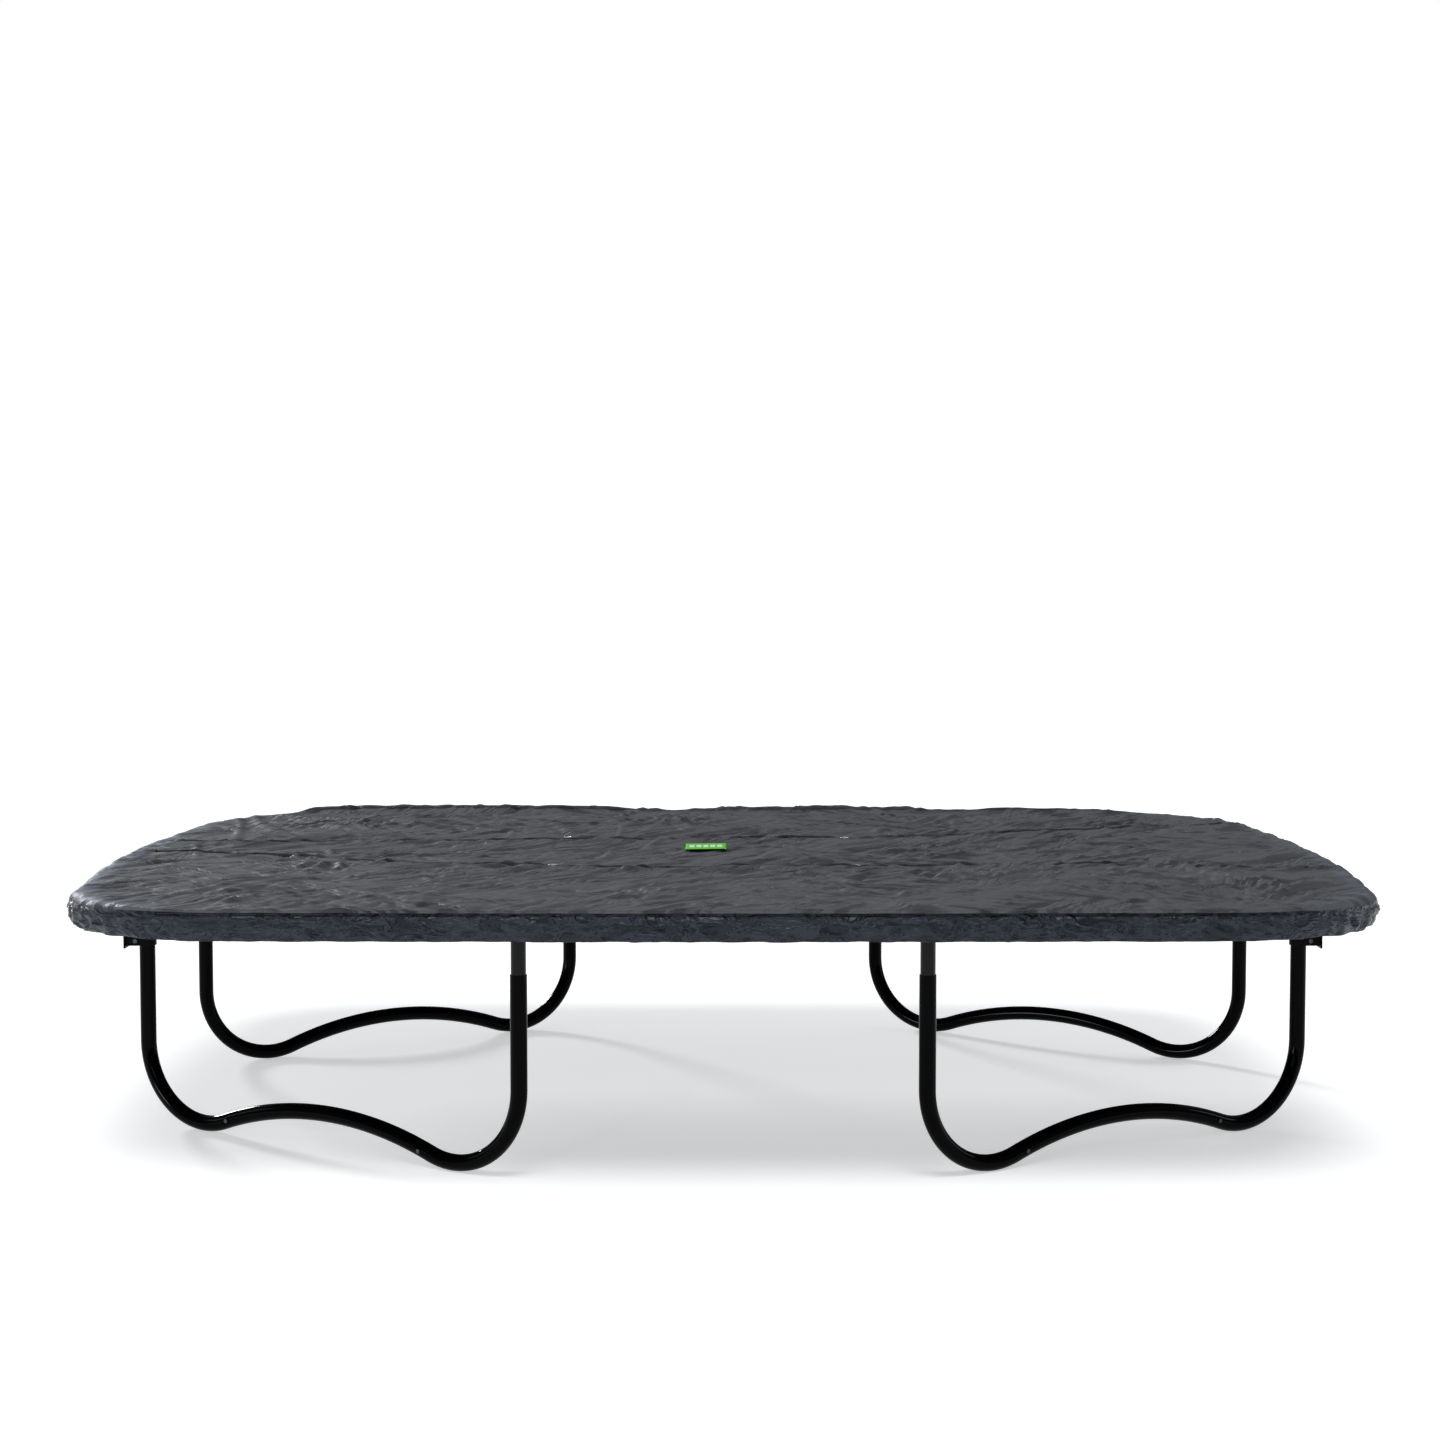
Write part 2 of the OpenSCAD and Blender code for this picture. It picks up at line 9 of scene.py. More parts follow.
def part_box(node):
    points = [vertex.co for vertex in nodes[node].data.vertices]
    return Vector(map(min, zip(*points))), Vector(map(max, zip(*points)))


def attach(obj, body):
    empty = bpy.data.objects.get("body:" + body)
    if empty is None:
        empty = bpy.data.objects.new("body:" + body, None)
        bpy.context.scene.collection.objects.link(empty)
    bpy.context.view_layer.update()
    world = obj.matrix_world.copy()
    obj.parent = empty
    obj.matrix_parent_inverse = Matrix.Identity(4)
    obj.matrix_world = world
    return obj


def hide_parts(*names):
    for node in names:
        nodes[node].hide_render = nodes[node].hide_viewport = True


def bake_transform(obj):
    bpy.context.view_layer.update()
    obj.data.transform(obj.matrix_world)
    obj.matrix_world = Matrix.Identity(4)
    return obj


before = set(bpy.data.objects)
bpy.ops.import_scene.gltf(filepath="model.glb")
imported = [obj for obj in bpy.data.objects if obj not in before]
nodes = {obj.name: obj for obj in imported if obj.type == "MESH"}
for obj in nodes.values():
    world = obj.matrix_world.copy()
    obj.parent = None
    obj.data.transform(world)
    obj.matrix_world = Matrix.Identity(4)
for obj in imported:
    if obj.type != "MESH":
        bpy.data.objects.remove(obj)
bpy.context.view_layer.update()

scene = bpy.context.scene


# Powder-coated steel tube. The frame's eight tubes and the legs' twenty are 38 mm steel tube,
# coated gloss black and baked. The coat has a faint orange peel, and dust lies on what faces up.
def add_node(tree, kind, feeds=(), **settings):
    """A node with its settings. feeds gives an input its value, or the output that drives it."""
    made = tree.nodes.new(kind)
    for name, value in settings.items():
        setattr(made, name, value)
    for label, value in dict(feeds).items():
        if isinstance(value, bpy.types.NodeSocket):
            tree.links.new(value, made.inputs[label])
        else:
            made.inputs[label].default_value = value
    return made


def shader_group(name, inputs, outputs):
    """An empty node group with float inputs given as name: default, and named outputs."""
    group = bpy.data.node_groups.new(name, "ShaderNodeTree")
    for label, default in inputs.items():
        socket = group.interface.new_socket(label, in_out="INPUT", socket_type="NodeSocketFloat")
        socket.default_value = default
    for label in outputs:
        group.interface.new_socket(label, in_out="OUTPUT", socket_type="NodeSocketFloat")
    return group, group.nodes.new("NodeGroupInput").outputs, group.nodes.new("NodeGroupOutput").inputs


def object_noise(tree, **feeds):
    """Noise that is fixed to the object."""
    place = add_node(tree, "ShaderNodeTexCoord").outputs["Object"]
    return add_node(tree, "ShaderNodeTexNoise", {"Vector": place, **feeds}).outputs["Fac"]


def build_dust_group():
    """Dust on faces that look up, broken up by noise: a mask from 0 to 1."""
    group, source, result = shader_group("dust on top", {"Amount": 0.3, "Patch Size": 9.0}, ["Mask"])
    facing = add_node(group, "ShaderNodeNewGeometry").outputs["Normal"]
    split = add_node(group, "ShaderNodeSeparateXYZ", {0: facing})
    up = add_node(group, "ShaderNodeMapRange", {"Value": split.outputs["Z"], "From Min": 0.35})
    noise = object_noise(group, Detail=6, Scale=source["Patch Size"])
    patches = add_node(group, "ShaderNodeMath", {0: up.outputs["Result"], 1: noise}, operation="MULTIPLY")
    mask = add_node(group, "ShaderNodeMath", {0: patches.outputs[0], 1: source["Amount"]},
                    operation="MULTIPLY", use_clamp=True)
    group.links.new(mask.outputs[0], result["Mask"])
    return group


def build_grain_group():
    """Fine unevenness of a surface: a height for a bump, and how it varies the roughness."""
    group, source, result = shader_group(
        "surface grain", {"Grain Size": 300.0, "Blotch Size": 6.0}, ["Height", "Blotch"])
    for size, detail, output in (("Grain Size", 3, "Height"), ("Blotch Size", 5, "Blotch")):
        group.links.new(object_noise(group, Detail=detail, Scale=source[size]), result[output])
    return group


dust_group = build_dust_group()
grain_group = build_grain_group()


def use_group(tree, group, **values):
    return add_node(tree, "ShaderNodeGroup", {k.replace("_", " "): v for k, v in values.items()},
                    node_tree=group).outputs


def new_material(name, **sockets):
    """A material, as its node tree and shader, with constants on the shader's own sockets."""
    material = bpy.data.materials.new(name)
    material.use_nodes = True
    shader = material.node_tree.nodes["Principled BSDF"]
    for label, value in sockets.items():
        shader.inputs[label.replace("_", " ")].default_value = value
    return material, material.node_tree, shader


def colour_ramp(tree, source, stops):
    """A colour for each value of source: stops are (place, (r, g, b))."""
    ramp = add_node(tree, "ShaderNodeValToRGB", {"Fac": source})
    for element, (place, colour) in zip(ramp.color_ramp.elements, stops):
        element.position = place
        element.color = (*colour, 1)
    return ramp.outputs["Color"]


def surface(tree, shader, colour, blotch, roughness, height, strength, depth):
    """Connects a colour, a roughness that varies between two values, and a bump to the shader."""
    low, high = roughness
    gloss = add_node(tree, "ShaderNodeMapRange", {"Value": blotch, "To Min": low, "To Max": high})
    relief = add_node(tree, "ShaderNodeBump", {"Strength": strength, "Distance": depth, "Height": height})
    tree.links.new(colour, shader.inputs["Base Color"])
    tree.links.new(gloss.outputs["Result"], shader.inputs["Roughness"])
    tree.links.new(relief.outputs["Normal"], shader.inputs["Normal"])


def powder_coat(name, black, dusty, roughness, dust_amount, level=0.05):
    """Gloss powder coat: its colour, the colour of the dust on it, and the gloss's two ends."""
    material, tree, shader = new_material(name, IOR=1.45, Specular_IOR_Level=level)
    grain = use_group(tree, grain_group, Grain_Size=420.0, Blotch_Size=5.0)
    dust = use_group(tree, dust_group, Amount=dust_amount, Patch_Size=14.0)
    colour = colour_ramp(tree, dust["Mask"], [(0, black), (1, dusty)])
    surface(tree, shader, colour, grain["Blotch"], roughness, grain["Height"], 0.05, 0.0004)
    return material


def paint(material, names):
    """Gives CAD nodes a material in place of their plain one."""
    for name in names:
        data = nodes[name].data
        data.materials.clear()
        data.materials.append(material)


coat = powder_coat("gloss black powder coat", (0.0004, 0.0004, 0.0005), (0.006, 0.0059, 0.0058),
                   (0.05, 0.13), 0.05)
coated = ("frame_corner_", "frame_tube_", "leg_")
paint(coat, [n for n in nodes if n.startswith(coated) and n != "leg_screws"])


# T-sockets and pole brackets. The sockets are pressed and welded steel, dipped in a thinner,
# shinier black, so the stub between cover and leg catches more light. The brackets are satin.
thin_coat = powder_coat("thin black coat", (0.003, 0.003, 0.0032), (0.02, 0.0195, 0.019),
                        (0.05, 0.13), 0.1, level=0.17)
satin_coat = powder_coat("satin black coat", (0.003, 0.003, 0.0032), (0.025, 0.0245, 0.024),
                         (0.3, 0.42), 0.3)
paint(thin_coat, [n for n in nodes if n.startswith(("side_socket_", "end_socket_"))])
paint(satin_coat, [n for n in nodes if n.startswith("pole_bracket_")])


# Zinc-plated hardware. The leg screws are self-tapping with domed heads and a cross recess;
# the bracket bolts are plain hexagon bolts and nuts. Both are black.
def plated_steel(name, dark, bright, roughness):
    material, tree, shader = new_material(name, Metallic=1.0)
    grain = use_group(tree, grain_group, Grain_Size=900.0, Blotch_Size=60.0)
    colour = colour_ramp(tree, grain["Blotch"], [(0.3, dark), (0.7, bright)])
    surface(tree, shader, colour, grain["Blotch"], roughness, grain["Height"], 0.15, 0.0002)
    return material


zinc = plated_steel("black zinc plate", (0.03, 0.03, 0.033), (0.09, 0.09, 0.095), (0.3, 0.48))
paint(zinc, ["bracket_bolts", "leg_screws"])


# Springs and mat rings. Each spring is closed-wound 3.5 mm galvanised wire with a hook at each
# end: one goes over a ring's point, the other into a hole in the frame. The rings are bent and
# welded 5 mm wire.
frame_lo, frame_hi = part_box("frame_corner_back_right")
tube_r = (frame_hi.z - frame_lo.z) / 2
half_l = frame_hi.x - tube_r
half_w = frame_hi.y - tube_r
frame_z = frame_hi.z - tube_r
mat_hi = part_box("mat")[1]
mat_inset = half_l - mat_hi.x
frame_r = 0.34
side_springs, end_springs, corner_springs = 18, 10, 4
wire_d, coil_d, ring_wire = 0.0035, 0.022, 0.005
coil_near, coil_far = 0.036, 0.107
ring_tip = 0.1132
ring_bar = mat_inset - 0.0028


def spring_places(sx, sy):
    """The springs of one quarter, as (group, x, y, direction out to the frame)."""
    made = []
    for i in range(side_springs // 2):
        x = (i + 0.5) * 2 * (half_l - frame_r) / side_springs
        made.append(("front" if sy < 0 else "back", sx * x, sy * half_w, sy * math.pi / 2))
    for i in range(end_springs // 2):
        y = (i + 0.5) * 2 * (half_w - frame_r) / end_springs
        made.append(("left" if sx < 0 else "right", sx * half_l, sy * y, 0 if sx > 0 else math.pi))
    for i in range(corner_springs):
        t = (i + 0.5) * math.pi / 2 / corner_springs
        x = half_l - frame_r + frame_r * math.cos(t)
        y = half_w - frame_r + frame_r * math.sin(t)
        name = f"{'front' if sy < 0 else 'back'}_{'left' if sx < 0 else 'right'}_corner_{i + 1}"
        made.append((name, sx * x, sy * y, math.atan2(sy * math.sin(t), sx * math.cos(t))))
    return made


all_places = [p for sx in (-1, 1) for sy in (-1, 1) for p in spring_places(sx, sy)]


def geometry_tree(name, inputs):
    """A geometry node tree with a geometry input and output and more named inputs."""
    tree = bpy.data.node_groups.new(name, "GeometryNodeTree")
    tree.interface.new_socket("Geometry", in_out="INPUT", socket_type="NodeSocketGeometry")
    tree.interface.new_socket("Geometry", in_out="OUTPUT", socket_type="NodeSocketGeometry")
    for label, value in inputs.items():
        kind = "NodeSocketMaterial" if isinstance(value, bpy.types.Material) else "NodeSocketFloat"
        tree.interface.new_socket(label, in_out="INPUT", socket_type=kind).default_value = value
    return tree, tree.nodes.new("NodeGroupInput").outputs, tree.nodes.new("NodeGroupOutput").inputs


def give_material(tree, source, result, shape):
    """Makes a shape real, gives it the tree's material and puts it out."""
    real = add_node(tree, "GeometryNodeRealizeInstances", {0: shape})
    look = add_node(tree, "GeometryNodeSetMaterial", {
        "Geometry": real.outputs[0], "Material": source["Material"]})
    tree.links.new(look.outputs[0], result["Geometry"])
    return tree


def instance_and_finish(tree, source, result, shape):
    """Puts a shape at each point of the input, turned by the points' own spin, as one real mesh."""
    spin = add_node(tree, "GeometryNodeInputNamedAttribute", {"Name": "spin"}, data_type="FLOAT")
    turn = add_node(tree, "ShaderNodeCombineXYZ", {"Z": spin.outputs["Attribute"]})
    spread = add_node(tree, "GeometryNodeInstanceOnPoints", {
        "Points": source["Geometry"], "Instance": shape, "Rotation": turn.outputs[0]})
    return give_material(tree, source, result, spread.outputs[0])


def new_object(name, data):
    made = bpy.data.objects.new(name, data)
    scene.collection.objects.link(made)
    return made


def points_object(name, places):
    """A mesh of loose points (x, y, z, spin)."""
    data = bpy.data.meshes.new(name)
    data.from_pydata([p[:3] for p in places], [], [])
    spins = data.attributes.new("spin", "FLOAT", "POINT")
    spins.data.foreach_set("value", [p[3] for p in places])
    return new_object(name, data)


def run_tree(obj, tree):
    """Runs a geometry node tree on obj and leaves its result as obj's mesh."""
    obj.modifiers.new("shape", "NODES").node_group = tree
    ready = obj.evaluated_get(bpy.context.evaluated_depsgraph_get())
    data = bpy.data.meshes.new_from_object(ready)
    data.name = obj.name
    obj.modifiers.clear()
    obj.data = data
    data.shade_smooth()
    return obj


def transformed(tree, shape, move=(0, 0, 0), turn=(0, 0, 0), scale=(1, 1, 1)):
    return add_node(tree, "GeometryNodeTransform", {
        "Geometry": shape, "Translation": move, "Rotation": turn, "Scale": scale}).outputs[0]


def wire_of(tree, curve, radius):
    """A round wire along a curve. radius is an output of the tree's inputs."""
    ring = add_node(tree, "GeometryNodeCurvePrimitiveCircle", {"Resolution": 6, "Radius": radius})
    return add_node(tree, "GeometryNodeCurveToMesh", {
        "Fill Caps": True, "Curve": curve, "Profile Curve": ring.outputs["Curve"]}).outputs["Mesh"]


def three_point_arc(tree, start, middle, end, steps):
    return add_node(tree, "GeometryNodeCurveArc", {
        "Resolution": steps, "Start": start, "Middle": middle, "End": end}, mode="POINTS").outputs["Curve"]


def straight(tree, start, end):
    return add_node(tree, "GeometryNodeCurvePrimitiveLine", {"Start": start, "End": end}).outputs["Curve"]


def build_spring_tree(material):
    """Coil along -X from the frame's side, hook into the frame, hook over the ring's point."""
    tree, source, result = geometry_tree(
        "spring", {"Wire Radius": wire_d / 2, "Turns": 17.0, "Material": material})
    turn_r = (coil_d - wire_d) / 2
    coil = add_node(tree, "GeometryNodeCurveSpiral", {
        "Resolution": 11, "Start Radius": turn_r, "End Radius": turn_r,
        "Height": coil_far - coil_near - wire_d, "Rotations": source["Turns"]})
    near, far = -coil_near - wire_d / 2, -coil_far + wire_d / 2
    lift = ring_wire / 2 + wire_d / 2 + 0.0004
    over = -ring_tip + 0.001 - ring_wire - wire_d - 0.003
    hook = -tube_r + 0.004
    curves = add_node(tree, "GeometryNodeJoinGeometry")
    shapes = [
        transformed(tree, coil.outputs["Curve"], (far, 0, 0), (0, math.pi / 2, 0)),
        # the last turn at each end crosses to the axis
        three_point_arc(tree, (near, 0, turn_r), (near + 0.003, 0, turn_r * 0.5), (near + 0.006, 0, 0), 6),
        straight(tree, (near + 0.006, 0, 0), (hook, 0, 0)),
        three_point_arc(tree, (hook, 0, 0), (hook + 0.0035, 0, 0.0015), (hook + 0.005, 0, 0.005), 5),
        three_point_arc(tree, (far, 0, turn_r), (far - 0.003, 0, turn_r * 0.8), (far - 0.006, 0, lift), 6),
        straight(tree, (far - 0.006, 0, lift), (over + 0.003, 0, lift)),
        three_point_arc(tree, (over + 0.003, 0, lift), (over + 0.0008, 0, lift - 0.0012),
                        (over, 0, lift - 0.004), 5),
        straight(tree, (over, 0, lift - 0.004), (over, 0, -0.002)),
    ]
    for shape in reversed(shapes):
        tree.links.new(shape, curves.inputs[0])
    return instance_and_finish(tree, source, result, wire_of(tree, curves.outputs[0], source["Wire Radius"]))


def build_ring_tree(material):
    """A rounded triangle of wire whose point faces +X."""
    tree, source, result = geometry_tree(
        "mat ring", {"Wire Radius": ring_wire / 2, "Corner": 0.005, "Material": material})
    size = (0.034 - ring_wire) / 1.5
    loop = add_node(tree, "GeometryNodeCurvePrimitiveCircle", {"Resolution": 3, "Radius": size})
    wide = transformed(tree, loop.outputs["Curve"], (size / 2 + ring_wire / 2, 0, 0), scale=(1, 1.04, 1))
    rounded = add_node(tree, "GeometryNodeFilletCurve", {
        "Count": 4, "Curve": wide, "Radius": source["Corner"]}, mode="POLY")
    wire = wire_of(tree, rounded.outputs["Curve"], source["Wire Radius"])
    return instance_and_finish(tree, source, result, wire)


galvanised = plated_steel("galvanised wire", (0.36, 0.37, 0.39), (0.62, 0.63, 0.65), (0.25, 0.45))
spring_tree = build_spring_tree(galvanised)
for group in sorted({p[0] for p in all_places}):
    members = [(x, y, frame_z, spin) for name, x, y, spin in all_places if name == group]
    piece = run_tree(points_object(f"springs_{group}", members), spring_tree)
    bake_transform(piece)
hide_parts("springs")

ring_tree = build_ring_tree(galvanised)
ring_spots = [(x - ring_bar * math.cos(a), y - ring_bar * math.sin(a), frame_z, a)
              for _, x, y, a in all_places]
rings = run_tree(points_object("mat_wire_rings", ring_spots), ring_tree)
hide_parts("mat_rings")
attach(rings, "mat")


# Jumping mat. Woven black polypropylene, cut to the frame's shape and stretched flat by the
# springs, with a webbing band sewn over its edge and a webbing loop round each ring's bar.
def outline(a, b, r, end_out, side_out, count):
    """Points evenly round a rounded rectangle whose sides bulge out, and the directions outwards.
    It starts at the middle of the right end and goes anticlockwise."""
    cx, cy = a - end_out - r, b - side_out - r
    u = np.linspace(-1, 1, 41)[1:-1]
    arc = np.linspace(0, math.pi / 2, 61)
    corner = r * np.column_stack([np.cos(arc), np.sin(arc)])
    right = np.column_stack([a - end_out * u**2, u * cy])
    back = np.column_stack([-u * cx, b - side_out * u**2])
    turn = np.array([[0, 1], [-1, 0]])
    loop = np.vstack([
        right[19:], corner + (cx, cy), back, corner @ turn + (-cx, cy), -right,
        -corner + (-cx, -cy), -back, -corner @ turn + (cx, -cy), right[:19]])
    loop = np.vstack([loop, loop[:1]])
    steps = np.hypot(*np.diff(loop, axis=0).T)
    along = np.concatenate([[0], np.cumsum(steps)])
    wanted = np.linspace(0, along[-1], count, endpoint=False)
    points = np.column_stack([np.interp(wanted, along, loop[:, k]) for k in (0, 1)])
    way = np.roll(points, -1, axis=0) - np.roll(points, 1, axis=0)
    way /= np.linalg.norm(way, axis=1)[:, None]
    return points, np.column_stack([way[:, 1], -way[:, 0]]), along[-1]


def fill_outline(loop, inner):
    """Triangles that fill a closed loop of points, using the inner points too."""
    count = len(loop)
    verts = [Vector(p) for p in np.vstack([loop, inner])]
    edges = [(i, (i + 1) % count) for i in range(count)]
    _, _, faces, origin, _, _ = delaunay_2d_cdt(verts, edges, [], 1, 1e-7)
    order = [o[0] for o in origin]
    return [tuple(order[i] for i in f) for f in faces]


def inside_outline(points, a, b, r, end_out, side_out, inset):
    """Which points lie inside the outline moved in by inset."""
    cx, cy = a - end_out - r, b - side_out - r
    x, y = np.abs(points[:, 0]), np.abs(points[:, 1])
    ends = np.where(y < cy, a - end_out * (y / cy) ** 2, a - end_out) - inset
    sides = np.where(x < cx, b - side_out * (x / cx) ** 2, b - side_out) - inset
    corner = (x > cx) & (y > cy) & (np.hypot(x - cx, y - cy) > r - inset)
    return (x < ends) & (y < sides) & ~corner


def mesh_object(name, verts, faces):
    data = bpy.data.meshes.new(name)
    data.from_pydata(np.asarray(verts).tolist(), [], faces)
    data.validate()
    data.shade_smooth()
    return new_object(name, data)


def thin_shell(verts, faces, rim, thickness):
    """A closed shell: the outer face as given, an inner face below it, and the rim joined up."""
    count = len(verts)
    both = np.vstack([verts, verts - np.array([0, 0, thickness])])
    walls = [(int(i), int(i) + count, int(j) + count, int(j)) for i, j in zip(rim, np.roll(rim, -1))]
    under = [tuple(i + count for i in reversed(f)) for f in faces]
    return both, list(faces) + under + walls


def woven(name, dark, light, cell, roughness, depth, **sockets):
    """Woven tape: crossing yarns in the mesh's own plane, with a little unevenness in the dye."""
    material, tree, shader = new_material(name, **{"Specular_IOR_Level": 0.25, **sockets})
    place = add_node(tree, "ShaderNodeTexCoord").outputs["Object"]
    waves = [add_node(tree, "ShaderNodeTexWave", {"Scale": 0.314 / cell, "Distortion": 0.4, "Vector": place},
                      wave_type="BANDS", bands_direction=axis).outputs["Fac"] for axis in ("X", "Y")]
    weave = add_node(tree, "ShaderNodeMath", dict(enumerate(waves)), operation="MULTIPLY").outputs[0]
    grain = use_group(tree, grain_group, Grain_Size=240.0, Blotch_Size=3.0)
    mix = add_node(tree, "ShaderNodeMath", {0: grain["Blotch"], 1: 0.6, 2: weave}, operation="MULTIPLY_ADD")
    colour = colour_ramp(tree, mix.outputs[0], [(0.1, dark), (0.9, light)])
    surface(tree, shader, colour, grain["Blotch"], roughness, weave, 0.5, depth)
    return material


mat_half = (mat_hi.x, mat_hi.y)
mat_r = frame_r - mat_inset
mat_cloth = woven("woven polypropylene", (0.006, 0.006, 0.0065), (0.02, 0.02, 0.021),
                  0.003, (0.5, 0.65), 0.0004)
rim_count = 420
mat_loop = outline(*mat_half, mat_r, 0, 0, rim_count)[0]
grid = np.stack(np.meshgrid(np.arange(-1.24, 1.25, 0.04), np.arange(-0.78, 0.79, 0.04)), -1).reshape(-1, 2)
grid = grid[inside_outline(grid, *mat_half, mat_r, 0, 0, 0.02)]
flat = np.vstack([mat_loop, grid])
# the mat hangs a few millimetres low in its middle
mat_sag = 0.006
dish = mat_sag * (1 - (flat[:, 0] / mat_half[0]) ** 2) * (1 - (flat[:, 1] / mat_half[1]) ** 2)
mat_t = 0.0016
mat_verts = np.column_stack([flat, frame_z + mat_t / 2 - dish])
mat_verts, mat_faces = thin_shell(mat_verts, fill_outline(mat_loop, grid), np.arange(rim_count), mat_t)
jumping_mat = mesh_object("jumping_mat", mat_verts, mat_faces)
jumping_mat.data.materials.append(mat_cloth)
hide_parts("mat")
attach(jumping_mat, "mat")

webbing = woven("polyester webbing", (0.012, 0.012, 0.013), (0.035, 0.035, 0.037),
                0.0016, (0.55, 0.7), 0.0003, Sheen_Weight=0.2)
paint(webbing, ["mat_hem"])


def build_stitch_tree(material):
    """Short rounded stitches, lying along X before they are turned."""
    tree, source, result = geometry_tree(
        "stitch", {"Length": 0.007, "Thread": 0.0011, "Material": material})
    ball = add_node(tree, "GeometryNodeMeshUVSphere", {"Segments": 6, "Rings": 4, "Radius": 0.5})
    size = add_node(tree, "ShaderNodeCombineXYZ", {
        "X": source["Length"], "Y": source["Thread"], "Z": source["Thread"]})
    shape = add_node(tree, "GeometryNodeTransform", {
        "Geometry": ball.outputs["Mesh"], "Scale": size.outputs[0]})
    return instance_and_finish(tree, source, result, shape.outputs[0])


thread = woven("sewing thread", (0.03, 0.03, 0.032), (0.07, 0.07, 0.075), 0.001, (0.5, 0.6), 0.0001)
stitch_tree = build_stitch_tree(thread)
hem_top = frame_z + 0.0035
stitches = []
row_length, stitch_pitch = 7.8, 0.011
for inset in (0.006, 0.044):
    count = int(row_length / stitch_pitch)
    loop, out, _ = outline(mat_half[0] - inset, mat_half[1] - inset, mat_r - inset, 0, 0, count)
    stitches += [(p[0], p[1], hem_top, math.atan2(n[0], -n[1])) for p, n in zip(loop, out)]
hem_stitches = run_tree(points_object("mat_hem_stitches", stitches), stitch_tree)
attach(hem_stitches, "mat")


# Spring pad. Four lengths of foam in a PVC sleeve, green-black, laid over the springs and the
# frame, fuller in the middle of their width, with a welded seam along each edge.
pad_boxes = [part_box("pad_" + side) for side in ("front", "back", "left", "right")]
pad_a = pad_boxes[3][1].x
pad_b = pad_boxes[1][1].y
pad_low, pad_top = pad_boxes[0][0].z, pad_boxes[0][1].z
cover_r, end_bulge, side_bulge = 0.42, 0.042, 0.012
pad_inner = 0.17
pad_stations = 840


def pad_vinyl():
    material, tree, shader = new_material(
        "pad vinyl", Specular_IOR_Level=0.4, Coat_Weight=0.1, Coat_Roughness=0.25)
    grain = use_group(tree, grain_group, Grain_Size=520.0, Blotch_Size=4.0)
    dust = use_group(tree, dust_group, Amount=0.25, Patch_Size=5.0)
    colour = colour_ramp(tree, dust["Mask"], [(0, (0.012, 0.035, 0.024)), (1, (0.05, 0.07, 0.06))])
    surface(tree, shader, colour, grain["Blotch"], (0.32, 0.5), grain["Height"], 0.2, 0.0006)
    return material


vinyl = pad_vinyl()
# Section of a pad: (share of the width from the inner edge, share of the height from the bottom)
pad_section = [
    (0.0, 0.5), (0.004, 0.2), (0.02, 0.03), (0.12, 0.0), (0.5, 0.0), (0.88, 0.0), (0.98, 0.03), (0.996, 0.2),
    (1.0, 0.5), (0.996, 0.72), (0.975, 0.88), (0.9, 0.95), (0.75, 0.99), (0.5, 1.0), (0.25, 0.99),
    (0.1, 0.95), (0.025, 0.88), (0.004, 0.72)]


def face_outwards(piece):
    """Turns all of a piece's faces outwards."""
    tool = bmesh.new()
    tool.from_mesh(piece.data)
    bmesh.ops.recalc_face_normals(tool, faces=tool.faces)
    tool.to_mesh(piece.data)
    tool.free()


def make_pad(side, first, last):
    """A length of pad between two stations of the outline."""
    outer, way, _ = outline(pad_a, pad_b, cover_r - 0.003, end_bulge, side_bulge, pad_stations)
    # the edge is drawn in, more at the ends, where the cover rolls over it
    outer = outer - way * (0.009 + 0.016 * np.clip((np.abs(way[:, :1]) - 0.25) / 0.6, 0, 1))
    inner = outline(half_l - pad_inner, half_w - pad_inner, frame_r - pad_inner, 0, 0, 4 * pad_stations)[0]
    picked = [i % pad_stations for i in range(first, last + 1)]
    steps = len(picked) - 1
    verts = []
    for k, i in enumerate(picked):
        q = outer[i]
        # straight in from the outer edge: the nearest point of the inner edge
        p = inner[np.argmin(((inner - q) ** 2).sum(1))]
        # both ends are tucked in and rounded like the edges
        end = min(k, steps - k)
        close = 0.55 + 0.45 * math.sin(min(end / 3, 1) * math.pi / 2)
        pucker = 0.0012 * math.sin(i * 0.55) + 0.0008 * math.sin(i * 1.7 + 1)
        for across, tall in pad_section:
            place = p + (q - p) * across
            z = pad_low + (pad_top - pad_low) * (0.5 + (tall - 0.5) * close)
            z -= pucker * (tall > 0.6) * (1 - abs(2 * across - 1)) + 0.0016 * (tall > 0.6)
            verts.append((*place, z))
    n = len(pad_section)
    faces = []
    for k in range(steps):
        for j in range(n):
            a, b = k * n + j, k * n + (j + 1) % n
            faces.append((a, a + n, b + n, b))
    faces.append(tuple(range(n)))
    faces.append(tuple(reversed(range(steps * n, (steps + 1) * n))))
    piece = mesh_object(f"spring_pad_{side}", verts, faces)
    face_outwards(piece)
    piece.data.materials.append(vinyl)
    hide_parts("pad_" + side)
    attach(piece, "frame")


pad_loop, _, _ = outline(pad_a, pad_b, cover_r - 0.003, end_bulge, side_bulge, pad_stations)
split = (pad_a - end_bulge - cover_r + 0.003, pad_b - side_bulge - cover_r + 0.003)
corner_share = math.radians(38)
corner_station = int(np.argmin([abs(math.atan2(x - split[0], y - split[1]) - corner_share)
                                if x > split[0] and y > split[1] else 9 for x, y in pad_loop]))
half_turn = pad_stations // 2
make_pad("right", -corner_station, corner_station)
make_pad("back", corner_station, half_turn - corner_station)
make_pad("left", half_turn - corner_station, half_turn + corner_station)
make_pad("front", half_turn + corner_station, pad_stations - corner_station)


